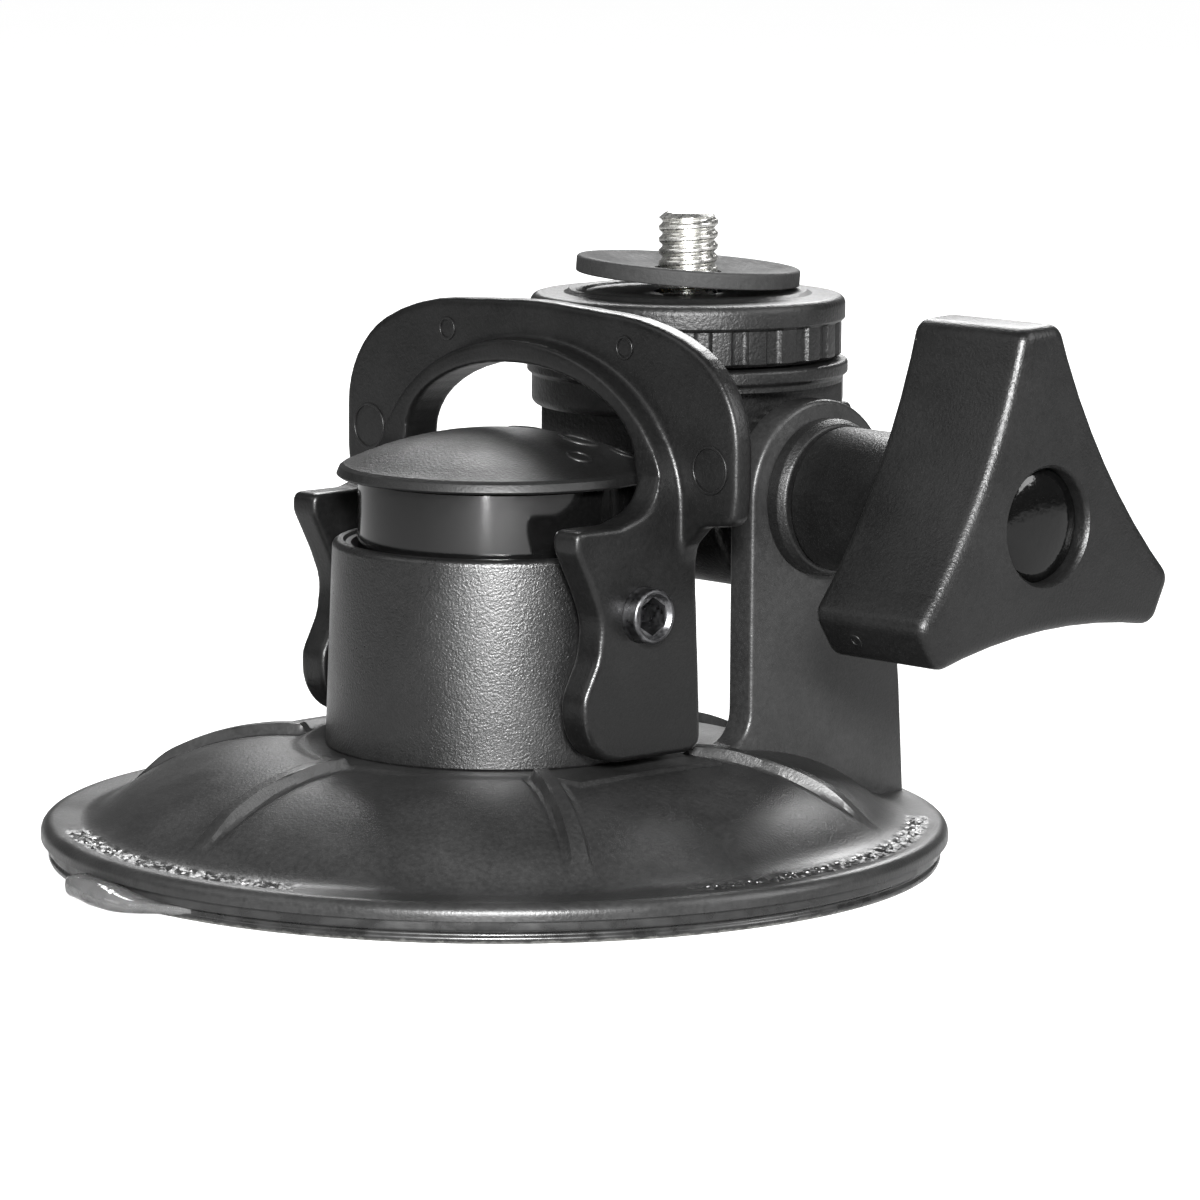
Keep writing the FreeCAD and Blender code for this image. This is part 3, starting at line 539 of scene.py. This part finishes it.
DOME_FOOT, LAND_RADIUS, DOME_ARC = 42.2, 21.5, 31.0
RIBS, RIB_TALL, RIB_HALF, RIB_START, RIB_FADE = 6, 1.1, 0.7, 20.6, 36.0
SEAT_HALF_LENGTH, SEAT_HALF_WIDTH = 23.2, 9.6
BAND_INNER, BAND_OUTER, BAND_DEPTH = 42.9, 45.2, 0.34


def dome_height(radius):
    """Height of the dome's section: an arc from the land down to the lip."""
    if radius <= LAND_RADIUS:
        return LAND_TOP
    start, end = Vector((LAND_RADIUS, LAND_TOP)), Vector((DOME_FOOT, RIM_TOP))
    half = (end - start) / 2
    left = Vector((half.y, -half.x)).normalized()
    centre = start + half + left * math.sqrt(DOME_ARC ** 2 - half.length_squared)
    return centre.y + math.sqrt(max(DOME_ARC ** 2 - (radius - centre.x) ** 2, 0))


def blend_up(a, b, width):
    """The larger of two heights, with a rounded valley between them."""
    t = max(0.0, 1 - abs(a - b) / width)
    return max(a, b) + t * t * width / 4


def smooth(t):
    """A soft step from 0 to 1 as t goes from 0 to 1."""
    t = min(1.0, max(0.0, t))
    return t * t * (3 - 2 * t)


def rib_height(radius, angle):
    """Six low ribs, steep at their inner ends and fading out at the dome's foot."""
    share = TAU / RIBS
    turn = (angle - share / 2) % share
    across = min(turn, share - turn) * radius
    along = smooth((radius - RIB_START) / 0.9) * (1 - smooth((radius - RIB_FADE) / 5.6))
    crown = 1.0 - smooth((across - RIB_HALF) / 0.45)
    groove = math.exp(-((across - 1.5) / 0.3) ** 2) * 0.22
    return along * (RIB_TALL * crown - groove)


def post_flare(x, y):
    """The small fillet where the post's inner face and sides rise from the dome."""
    reach, fade_from = 1.3, 41.5
    if x > POST_INNER + 1.5:
        return 0.0
    dx = max(POST_INNER - x, 0)
    dy = max(TILT_Y - EAR_RADIUS - y, 0, y - (TILT_Y + EAR_RADIUS))
    gap = math.hypot(dx, dy)
    rise = reach - math.sqrt(reach ** 2 - (reach - gap) ** 2) if gap < reach else 0.0
    return rise * smooth((fade_from - math.hypot(x, y)) / 2.5)


def stipple(radius, angle):
    """A rough pebbled band in two stretches of the lip, with no pattern to read."""
    degrees = math.degrees(angle)
    left = smooth((degrees - 238) / 5) * (1 - smooth((degrees - 288) / 6))
    right = 1 - smooth((abs((degrees - 15 + 180) % 360 - 180) - 28) / 6)
    band = smooth((radius - BAND_INNER) / 0.3) * (1 - smooth((radius - BAND_OUTER) / 0.3))
    spot = Vector((radius * math.cos(angle), radius * math.sin(angle), 3.0))
    rough = noise.fractal(spot * 1.9, 0.8, 2.2, 3)
    return max(left, right) * band * (BAND_DEPTH * rough - 0.05)


def top_height(radius, angle):
    """Height of the cover's upper skin: dome, ribs, the cams' flat seat, lip, fillet and stipple."""
    x, y = radius * math.cos(angle), radius * math.sin(angle)
    lip = RIM_TOP
    if radius > RIM_RADIUS - RIM_ROUND:
        over = radius - RIM_RADIUS + RIM_ROUND
        lip = RIM_TOP - RIM_ROUND + math.sqrt(max(RIM_ROUND ** 2 - over ** 2, 0))
    height = dome_height(radius) + rib_height(radius, angle) if radius < 44.5 else -9.0
    seat = 0.0
    if abs(x) > BARREL_FOOT - 1:
        seat = 1 - smooth(max(abs(x) - SEAT_HALF_LENGTH, abs(y) - SEAT_HALF_WIDTH) / 0.6)
    height -= smooth((radius - 20.2) / 1.3) * 0.25 * (1 - seat)
    height += max(LAND_TOP - height, 0.0) * seat
    height = blend_up(height, lip, 1.4)
    return height + post_flare(x, y) + stipple(radius, angle)


def make_cover():
    """The domed cover as a polar grid, so ribs, flares and stipple are real relief."""
    radii = [15.0, 17.0, 18.0, 19.0, 19.6]
    radii += [20.0 + 0.3 * k for k in range(88)]
    round_off = (8, 22, 36, 50, 64, 76, 90)
    radii += [RIM_RADIUS - RIM_ROUND + RIM_ROUND * math.sin(math.radians(a)) for a in round_off]
    under = [
        (RIM_RADIUS, RIM_UNDER), (40.2, RIM_UNDER), (38.4, 4.1), (35.0, 6.2), (30.5, 8.0),
        (26.0, 9.0), (LAND_RADIUS, 9.3), (10.5, 9.3), (10.5, 15.0), (4.8, 15.0), (4.8, 10.0),
        (3.05, 10.0), (3.05, 17.5), (15.0, 17.5),
    ]
    steps = 900
    bm = bmesh.new()
    rings = []
    for k in range(steps):
        angle = TAU * k / steps
        c, n = math.cos(angle), math.sin(angle)
        ring = [(r * c, r * n, top_height(r, angle)) for r in radii]
        ring += [(r * c, r * n, z) for r, z in under]
        rings.append(ring)
    skin(bm, rings)
    return new_object("domed_housing", bm, 40)


def make_post():
    """The flat post with its round ear, swept towards the barrel at the foot, and the clamp's bore."""
    left, right = TILT_Y - EAR_RADIUS, TILT_Y + EAR_RADIUS
    sweep = 3.4
    outline = [(left - sweep, 6.0)] + arc(left - sweep, LAND_TOP + sweep, sweep, 3.6, 270, 360, 10)
    outline += arc(TILT_Y, TILT_Z, EAR_RADIUS, EAR_RADIUS, 180, 0, 40)
    outline += [(right + 2.3, RIM_TOP + 12.0), (right + 3.2, RIM_TOP - 1.2), (left + 6.0, RIM_TOP - 1.2)]
    post = prism("post", outline, POST_INNER, POST_OUTER, "X", bevel=1.15, segments=5)
    bore = lathe("bore", [(0, 5), (CLAMP_BORE, 5), (CLAMP_BORE, 30), (0, 30)], 48, CLAMP)
    return combine(post, bore, "DIFFERENCE")


def make_housing():
    """The cover and the post, as the one moulding that they are."""
    housing = make_cover()
    merge(housing, make_post())
    dress(housing, DOME, "base", ["housing"])


def make_painted_rim_glints():
    """Pale specks in the stippled bands, scattered from a fixed seed: painted glints that stand for the
    sparkle of the rough stipple.
    """
    draw = random.Random(31)
    bm = bmesh.new()
    for start, end, count in ((-119, -74, 26), (-14, 20, 24), (20, 47, 34)):
        for _ in range(count):
            angle = math.radians(draw.uniform(start, end))
            radius = draw.uniform(43.2, 45.0)
            size = draw.uniform(0.05, 0.17)
            spin = Matrix.Rotation(draw.uniform(0, TAU), 4, "Z")
            spot = (radius * math.cos(angle), radius * math.sin(angle), RIM_TOP + 0.05)
            place = Matrix.Translation(spot)
            shape = Matrix.Diagonal((size * draw.uniform(1, 2.6), size, size * 0.6, 1))
            bmesh.ops.create_icosphere(bm, subdivisions=1, radius=1.0, matrix=place @ spin @ shape)
    flecks = new_object("rim_flecks", bm, 60)
    # The specks' pale grey is painted glint on the stipple.
    material, tree, surface = shader("painted_glint", roughness=0.35)
    tint = texture(tree, "ShaderNodeTexNoise", 1.2)
    tone = ramp(tree, tint.outputs["Fac"], [(0.35, 0.12), (0.68, 0.62)])
    tree.links.new(tone, surface.inputs["Base Color"])
    dress(flecks, material, "base")


def make_barrel():
    """Textured sleeve that narrows upwards, with a slot right through it for the lever's pin."""
    bore, top = 15.06, BARREL_HIGH.z
    profile = rounded([
        (bore, LAND_TOP), (BARREL_FOOT, LAND_TOP, 0.25), (BARREL_FOOT - 0.75, top, 0.75),
        (BARREL_FOOT - 1.9, top - 0.12, 0.15), (BARREL_FOOT - 2.1, top - 0.45, 0.1),
        (bore, top - 0.45, 0.1),
    ])
    barrel = lathe("textured_barrel", profile, 360)
    half = PIN_RADIUS + 0.3
    low = PIN_HEIGHT - 3.2
    slot = arc(0, low, half, half, 180, 360, 20) + arc(0, PIN_HEIGHT, half, half, 0, 180, 20)
    combine(barrel, prism("slot", slot, -20, 20, "X"), "DIFFERENCE")
    dress(barrel, SPARK, "base", ["barrel"])


def make_pad():
    """Smoky cup drawn up in the middle by the plunger."""
    lift = PAD_HIGH.z - 2.0
    edge = RIM_UNDER
    flat, run, parts = 9, 30.2, 12
    section = [(0, lift), (flat, lift)]
    section += [(flat + run * k / parts, lift * (1 - smooth(k / parts))) for k in range(1, parts + 1)]
    section += rounded([
        (42.0, 0.0), (46.5, 0.0, 0.3), (46.75, 0.55, 0.3), (46.35, 1.0, 0.2), (46.9, 1.35, 0.3),
        (46.9, edge, 0.12), (40.2, edge),
    ], closed=False)
    section += [(16.0, PAD_HIGH.z), (0, PAD_HIGH.z)]
    pad = lathe("suction_cup", section, 300, angle=50)
    dress(pad, PAD, None, ["suction_pad"])
    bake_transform(pad)


def make_tab():
    """A clear lumpy tongue at the cup's edge, to peel it off by: an oval section swept round the rim."""
    inner, reach, count, section = 45.6, 3.75, 34, 16
    bm = bmesh.new()
    rings = []
    for k in range(count + 1):
        share = k / count
        angle = math.radians(-104.5 + 22.0 * share)
        lump = smooth(share / 0.14) * (1 - smooth((share - 0.52) / 0.48))
        outer = 46.6 + reach * lump
        thick = 0.9 + 1.3 * smooth(share / 0.1) * (1 - smooth((share - 0.30) / 0.6))
        low = 0.12 + 0.25 * (1 - lump)
        curl = 0.45 * math.sin(share * 9.0) * lump
        middle = low + thick / 2
        ring = []
        for step in range(section):
            t = TAU * step / section
            wide = (outer - inner) / 2
            fat = thick / 2 * (1 + 0.22 * math.cos(t))
            radius = inner + wide + wide * math.copysign(abs(math.cos(t)) ** 0.7, math.cos(t))
            height = middle + fat * math.copysign(abs(math.sin(t)) ** 0.8, math.sin(t))
            height += max(0.0, curl) * max(0.0, math.cos(t)) * 0.8
            ring.append((radius * math.cos(angle), radius * math.sin(angle), height))
        rings.append(ring)
    skin(bm, rings, close_around=False)
    bm.verts.ensure_lookup_table()
    for start in (0, count * section):
        bm.faces.new([bm.verts[start + step] for step in range(section)])
    tab = new_object("peel_tab", bm, 60)
    dress(tab, CLEAR, "base")


# ------------------------------------------------------------------ plunger

def make_plunger():
    """Glossy sleeve that slides in the barrel on the lever's pin."""
    top, inner = SLEEVE_HIGH.z, SLEEVE_RADIUS - 2.2
    sleeve = lathe("plunger_sleeve", rounded([
        (inner, SLEEVE_LOW.z), (SLEEVE_RADIUS, SLEEVE_LOW.z, 0.4), (SLEEVE_RADIUS, top - 0.35, 0.1),
        (SLEEVE_RADIUS - 0.3, top), (1.6, top), (1.6, top - 2.5), (inner, top - 2.5, 0.8),
    ]), 300)
    hole = lathe("hole", [(0, -20), (PIN_RADIUS, -20), (PIN_RADIUS, 20), (0, 20)], 64, PIN)
    combine(sleeve, hole, "DIFFERENCE")
    dress(sleeve, GLOSS, "plunger", ["plunger"])


def make_cap():
    """Shallow dome with a soft band at its edge and a few plain raised rings."""
    edge, low, apex = CAP_HIGH.x, CAP_LOW.z, CAP_HIGH.z
    sphere = 36.4
    radii = (15.4, 14, 12, 10, 8, 6, 4, 2, 0)
    outer = [(r, apex - sphere + math.sqrt(sphere ** 2 - r * r)) for r in radii]
    profile = rounded([
        (edge - 0.3, low, 0.1), (edge, low + 0.22, 0.12), (edge - 0.32, low + 1.0, 0.15),
        (15.9, low + 1.32, 0.3), outer[0],
    ], closed=False)
    profile += outer[1:] + [(0, apex - 2.0), (1.4, apex - 2.0), (1.4, low), (3.5, low), (3.5, apex - 2.1)]
    profile += [(9.0, apex - 3.1), (13.0, low + 0.7), (13.0, low)]
    cap = lathe("dome_cap_shell", profile, 300)

    def ring(x, y, radius, fat):
        normal = Vector((x, y, sphere)).normalized()
        z = apex - sphere + math.sqrt(sphere ** 2 - x * x - y * y) - fat * 0.45
        turn = Vector((0, 0, 1)).rotation_difference(normal).to_matrix().to_4x4()
        section = arc(radius, 0, fat, fat, 0, 330, 11)
        return lathe("cap_ring", section, 64, Matrix.Translation((x, y, z)) @ turn)

    spots = [(6.6, 5.6, 2.0, 0.3), (-3.2, 7.0, 1.6, 0.28), (1.8, 10.2, 1.2, 0.26),
             (-8.3, 10.2, 1.5, 0.28), (11.6, 0.9, 1.2, 0.26), (9.2, 9.2, 1.3, 0.26)]
    merge(cap, *[ring(*spot) for spot in spots])
    dress(cap, CAP, "plunger", ["dome_cap"])


def make_pin():
    """Both ends of the lever's pin: a worn steel ring round a six-sided socket."""
    corner, clocking = 1.98, 0.5
    turns = [TAU * k / 6 + clocking for k in range(6)]
    socket = [(corner * math.cos(a), corner * math.sin(a)) for a in turns]
    tip = PIN_HIGH.x
    for side, node in ((1, "pivot_bolt"), (-1, "pivot_nut")):
        section = rounded([
            (0, 2.0), (PIN_RADIUS, 2.0), (PIN_RADIUS, tip, 0.38), (2.35, tip, 0.1), (2.0, tip - 0.45),
            (0, tip - 0.45),
        ])
        place = PIN if side > 0 else PIN @ Matrix.Rotation(math.pi, 4, "X")
        pin = lathe(f"{node}_end", section, 96, place)
        walls = prism("socket", socket, tip - 3.6, tip + 1, "Z")
        walls.data.transform(Matrix.Translation(place.translation * MM) @ place.to_3x3().to_4x4())
        combine(pin, walls, "DIFFERENCE")
        if side > 0:
            shank = lathe("shank", [(0, -12), (1.95, -12), (1.95, 2.1), (0, 2.1)], 48, PIN)
            merge(pin, shank)
        dress(pin, DARK_STEEL, "plunger", [node])


# ------------------------------------------------------------------ lever

def window():
    """The opening under the arch, from its right foot over the crown to its left foot."""
    return arc(0, 42.5, 17.6, 8.9, 0, 180, 22)


def make_lever():
    """Cam arms, arch band and grip plate, fused so that their joins are softly rounded."""
    front, back, half = 5.3, 7.8, LEVER_HIGH.x
    side = [
        (17.6, 38.5), (20.5, 31.6), (21.9, 31.6), (22.5, 34.2, 1.5), (24.8, 36.4, 2.2),
        (half - 0.4, 36.9, 1.6), (half, 40.0, 3.0), (half, 47.5, 10.5), (half - 3.2, 52.9, 11.0),
        (half - 8.5, 55.6, 22.0), (15.5, 57.1, 28.0),
    ]
    mirrored = [(-x, *rest) for x, *rest in side]
    plate = rounded(mirrored + [(0, 57.9, 60.0)] + side[::-1]) + window()
    grip = prism("lever_grip", plate, front, back, "Y", bevel=0.55, segments=3)
    band_outer = [(-ARM_INNER, 36.5), (-22.0, 36.5)] + arc(0, 38.0, 22.05, 15.75, 178, 2, 60)
    band_outer += [(22.0, 36.5), (ARM_INNER, 36.5)]
    band = prism("lever_band", band_outer + window(), 2.8, back - 0.1, "Y", bevel=0.35, segments=2)
    foot = LEVER_LOW.z
    profile = rounded([
        (-9.2, 36.9, 0.9), (-9.2, 34.8, 1.2), (-7.0, 30.6, 4.0), (-5.55, 27.2, 5.5), (-6.0, 23.6, 5.0),
        (-8.1, 19.6, 3.5), (-7.7, foot, 5.4), (8.55, foot, 1.7), (8.4, 18.0, 20), (back, 30.0, 20),
        (back, 44.5), (2.9, 44.5), (2.75, 41.5, 1.0), (1.2, 38.2, 4.5), (-3.0, 36.9, 2.5),
    ])
    arms = [
        prism("lever_arm", profile, low, high, "X", bevel=0.45, segments=2)
        for low, high in ((ARM_INNER, ARM_OUTER), (-ARM_OUTER, -ARM_INNER))
    ]
    sweep = arc(0, 38.0, ARM_OUTER, 15.8, 0, 180, 60)
    for arm in arms:
        silhouette = prism("silhouette", [(ARM_OUTER, 5.0)] + sweep + [(-ARM_OUTER, 5.0)], -20, 20, "Y")
        combine(arm, silhouette, "INTERSECT")
    lever = merge(grip, band, *arms)
    melt(lever, 0.26, 4)
    hole = lathe("hole", [(0, -30), (2.9, -30), (2.9, 30), (0, 30)], 64, PIN)
    combine(lever, hole, "DIFFERENCE", angle=50)
    lever.name = "cam_lever"
    dress(lever, LEVER, "lever", ["lever"])


def make_ejector_marks():
    """Faint raised rings that a mould's ejector pins leave on the grip's face."""
    marks = []
    spots = ((13.6, 53.9, 1.15), (-13.6, 53.9, 1.15), (26.2, 42.4, 2.4), (-26.2, 42.4, 2.4))
    for x, z, radius in spots:
        place = Matrix.Translation((x, 5.33, z)) @ Matrix.Rotation(math.pi / 2, 4, "X")
        section = rounded([(radius - 0.2, -0.2), (radius - 0.2, 0.2, 0.08), (radius + 0.12, 0.2, 0.08),
                           (radius + 0.12, -0.2)])
        marks.append(lathe("ejector_mark", section, 72, place))
        disc = rounded([(0, -0.1), (radius - 0.3, -0.1), (radius - 0.3, 0.05, 0.04), (0, 0.05)])
        marks.append(lathe("ejector_disc", disc, 48, place))
    marks = merge(*marks)
    marks.name = "lever_ejector_marks"
    dress(marks, LEVER, "lever")


# ------------------------------------------------------------------ tilting head

def hexagon(half, cy, cz):
    """A hexagon with a corner upwards; half is half its width across the flats."""
    reach = half / math.cos(math.pi / 6)
    turns = [TAU * (k + 0.5) / 6 for k in range(6)]
    return [(cy + reach * math.cos(a), cz + reach * math.sin(a)) for a in turns]


def make_block():
    """The head's clamped block, with a stepped drum on top that is cut flat low down at both cheeks."""
    under_drum = DRUM_LOW + 0.6
    outline = [(TILT_Y + BLOCK_RADIUS, under_drum), (TILT_Y - BLOCK_RADIUS, under_drum)]
    outline += arc(TILT_Y, TILT_Z, BLOCK_RADIUS, BLOCK_RADIUS, 180, 360, 48)
    block = prism("tilting_block", outline, -BLOCK_HALF, BLOCK_HALF, "X", bevel=0.9, segments=4)
    flange = BLOCK_HIGH.x
    drum = lathe("drum", rounded([
        (0, DRUM_LOW), (DRUM_RADIUS, DRUM_LOW, 0.9), (DRUM_RADIUS, DRUM_TOP - 1.75, 0.3),
        (flange, DRUM_TOP - 1.35, 0.3), (flange, DRUM_TOP, 0.4), (0, DRUM_TOP),
    ]), 240, HEAD)
    cheek_top = TILT_Z + 11.1
    cheek = [(0, 40), (60, 40), (60, cheek_top), (0, cheek_top)]
    for low, high in ((BLOCK_HALF, 20), (-20, -BLOCK_HALF)):
        combine(drum, prism("flat", cheek, low, high, "X"), "DIFFERENCE")
    combine(block, drum, "UNION")
    bore = lathe("bore", [(0, -30), (CLAMP_BORE, -30), (CLAMP_BORE, 30), (0, 30)], 64, CLAMP)
    combine(block, bore, "DIFFERENCE")
    combine(block, prism("seat", hexagon(5.05, TILT_Y, TILT_Z), -14.5, -8.4, "X"), "DIFFERENCE")
    dress(block, HEAD_PLASTIC, "tilt_head", ["tilt_block"])


def make_screw():
    """Quarter-inch screw with its twenty threads an inch cut as a real helix."""
    pitch, radius, depth = 1.27, 3.175, 0.38
    head_radius, head_thick, plain_top, around, layer = 5.0, 2.8, 50.0, 96, 0.06
    low, top = SCREW_LOW.z, SCREW_HIGH.z
    bm = bmesh.new()
    heights = [low, low, low + head_thick, low + head_thick, plain_top]
    radii = [0.0, head_radius, head_radius, radius, radius]
    first = plain_top + 0.1
    steps = int((top - first) / layer)
    heights += [first + (top - first) * k / steps for k in range(steps + 1)]
    radii += [None] * (steps + 1)
    rings = []
    for z, fixed in zip(heights, radii):
        ring = []
        for k in range(around):
            angle = TAU * k / around
            reach = fixed
            if fixed is None:
                phase = (z / pitch - k / around) % 1.0
                crest = min(1.0, max(0.0, abs(phase - 0.5) * 2.6 - 0.05))
                reach = radius - depth * smooth(1 - crest)
                reach = min(reach, radius - 0.75 + (top - z) * 1.25)
            ring.append((reach * math.cos(angle), HEAD_Y + reach * math.sin(angle), z))
        rings.append(ring)
    rings.append([(0, HEAD_Y, top)] * around)
    skin(bm, rings, close_around=False)
    bmesh.ops.remove_doubles(bm, verts=bm.verts, dist=1e-5)
    screw = new_object("camera_screw_thread", bm, 45)
    dress(screw, SILVER, "tilt_head", ["camera_screw"])


def make_wheel():
    """Jam wheel: a smooth band with a soft rim above a fluted one."""
    low, top, radius = WHEEL_LOW.z, WHEEL_TOP, 16.87
    flutes, flute_depth, fluted_band = 26, 0.42, 3.8
    profile = rounded([
        (5.0, low), (radius - 0.75, low, 0.2), (radius - 0.35, low + 0.3, 0.1), (radius - 0.35, low + 3.75),
        (radius - 0.25, low + 3.85), (radius, low + 4.1, 0.15), (radius, top - 0.45, 0.95),
        (13.3, top - 0.4, 0.3), (12.7, top, 0.35), (11.2, top, 0.3), (10.9, top - 0.3, 0.2), (3.7, top - 0.3),
        (3.7, top - 0.6), (5.05, top - 0.6),
    ])
    bm = bmesh.new()
    steps = 520
    rings = []
    for k in range(steps):
        angle = TAU * k / steps
        c, n = math.cos(angle), math.sin(angle)
        wave = (angle / TAU * flutes + 0.3) % 1.0
        hollow = smooth((abs(wave - 0.5) - 0.16) / 0.10)
        ring = []
        for r, z in profile:
            fluted = r > radius - 0.8 and z < low + fluted_band
            reach = r - flute_depth * (1 - hollow) if fluted else r
            ring.append((reach * c, HEAD_Y + reach * n, z))
        rings.append(ring)
    skin(bm, rings)
    wheel = new_object("jam_wheel", bm, 40)
    dress(wheel, HEAD_PLASTIC, "lock_wheel", ["lock_wheel"])


def make_washer():
    """Dished rubber washer that leans on the screw."""
    lean = Matrix.Rotation(math.radians(3.75), 4, Vector((-0.738, 0.674, 0)))
    place = Matrix.Translation((0, HEAD_Y, WASHER_MIDDLE)) @ lean
    section = [(3.55, -0.85), (4.2, -0.9)]
    section += rounded([(11.0, -0.9), (12.0, -0.88, 0.18), (12.0, 0.9, 0.35), (11.0, 0.86)], closed=False)
    section += [(r, 0.88 - 0.85 * (1 - ((r - 3.5) / 8.2) ** 2)) for r in (10.5, 9.5, 8.3, 7.0, 5.8, 4.6)]
    section += [(3.6, 0.05)]
    washer = lathe("rubber_washer", section, 240, place)
    dress(washer, RUBBER, "camera_pad", ["camera_pad"])


# ------------------------------------------------------------------ clamp knob

def make_collar():
    """Round boss between the post and the knob."""
    start, end, radius = COLLAR_LOW.x, COLLAR_HIGH.x, (COLLAR_HIGH.z - COLLAR_LOW.z) / 2
    collar = lathe("thrust_collar_ring", rounded([
        (3.0, start), (radius, start, 0.25), (radius, end - 0.9, 0.5), (radius - 0.55, end, 0.45),
        (radius - 1.2, end, 0.2), (3.0, end),
    ]), 192, CLAMP)
    dress(collar, KNOB, "thrust_collar", ["thrust_collar"])


KNOB_BACK, KNOB_FRONT = 35.5, KNOB_HIGH.x


def knob_outline():
    """Three blunt lobes, each two rounded corners, joined by hollow sides."""
    reach, half_tip, hollow = 20.4, 2.85, 7.2
    corners = []
    for lobe in range(3):
        middle = math.radians(93 + 120 * lobe)
        for side in (-1, 1):
            tip = Vector((reach, side * half_tip))
            tip.rotate(Matrix.Rotation(middle, 2))
            corners.append((tip, side))
    outline = []
    for number, (tip, side) in enumerate(corners):
        onward = corners[(number + 1) % 6][0]
        if side < 0:
            outline += [(tip.x, tip.y, 1.9), (onward.x, onward.y, 1.9)]
            continue
        chord = onward - tip
        inward = -(tip + onward).normalized()
        for share in (0.12, 0.25, 0.38, 0.5, 0.62, 0.75, 0.88):
            sag = hollow * share * (1 - share)
            spot = tip + chord * share + inward * sag
            outline.append((spot.x, spot.y, 3.0))
    return rounded(outline)


def make_knob():
    """Three-lobed clamp knob with its hub, a stepped recess for the plug and a small moulding mark."""
    back, front, start = KNOB_BACK, KNOB_FRONT, KNOB_LOW.x
    lobes = prism("three_lobed_knob", knob_outline(), back, front, "Z", bevel=1.35, segments=6, angle=40)
    lobes.data.transform(Matrix.Translation(CLAMP.translation * MM) @ ALONG_X)
    hub = lathe("hub", rounded([
        (0, start), (6.9, start, 0.3), (7.6, start + 0.6, 0.5), (7.6, back - 1.2), (8.3, back + 0.8),
        (0, back + 0.8),
    ]), 160, CLAMP)
    combine(lobes, hub, "UNION")
    cut = [
        (0, back - 15), (2.95, back - 15), (2.95, front - 12), (5.0, front - 12), (5.0, front - 8),
        (5.9, front - 8), (5.9, front - 0.6), (6.0, front - 0.3), (6.3, front + 0.02), (6.3, front + 1),
        (0, front + 1),
    ]
    combine(lobes, lathe("recess", cut, 128, CLAMP), "DIFFERENCE")
    lobe_turn = math.radians(213)
    outward = Vector((0, math.cos(lobe_turn), math.sin(lobe_turn)))
    spot = Vector((40.6, TILT_Y, TILT_Z)) + outward * 20.3
    turn = Vector((0, 0, 1)).rotation_difference(outward).to_matrix().to_4x4()
    section = rounded([(0.45, -0.2), (0.45, 0.18, 0.06), (0.8, 0.18, 0.06), (0.8, -0.2)])
    merge(lobes, lathe("mark", section, 40, Matrix.Translation(spot) @ turn))
    dress(lobes, KNOB, "knob", ["knob"])


def make_plug():
    """Glossy plug in the knob's recess, with a softly rounded face."""
    radius, end, edge = 5.85, KNOB_HIGH.x - 0.7, 1.0
    turns = [math.radians(a) for a in (18, 36, 54, 72, 90)]
    section = [(0, PLUG_LOW.x), (radius, PLUG_LOW.x), (radius, end - edge)]
    section += [(radius * math.cos(a), end - edge + edge * math.sin(a)) for a in turns]
    plug = lathe("glossy_knob_plug", section, 128, CLAMP)
    dress(plug, PLUG, "knob", ["knob_plug"])


# ------------------------------------------------------------------ carried-over CAD pieces

def dress_cad_nodes():
    """Better materials for the inner CAD solids whose shapes are right as they are."""
    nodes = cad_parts
    finishes = {
        "return_spring": SILVER, "cap_screw": SILVER, "pull_stem": SILVER, "stem_plate": SILVER,
        "clamp_nut": SILVER, "clamp_bolt": DARK_STEEL, "tooth_ring": HEAD_PLASTIC,
        "friction_washer": FIBRE, "wheel_insert": BRASS,
    }
    for name, material in finishes.items():
        nodes[name].data.materials.clear()
        nodes[name].data.materials.append(material)


make_camera()
make_stage()
make_housing()
make_painted_rim_glints()
make_barrel()
make_pad()
make_tab()
make_plunger()
make_cap()
make_pin()
make_lever()
make_ejector_marks()
make_block()
make_screw()
make_wheel()
make_washer()
make_collar()
make_knob()
make_plug()
dress_cad_nodes()
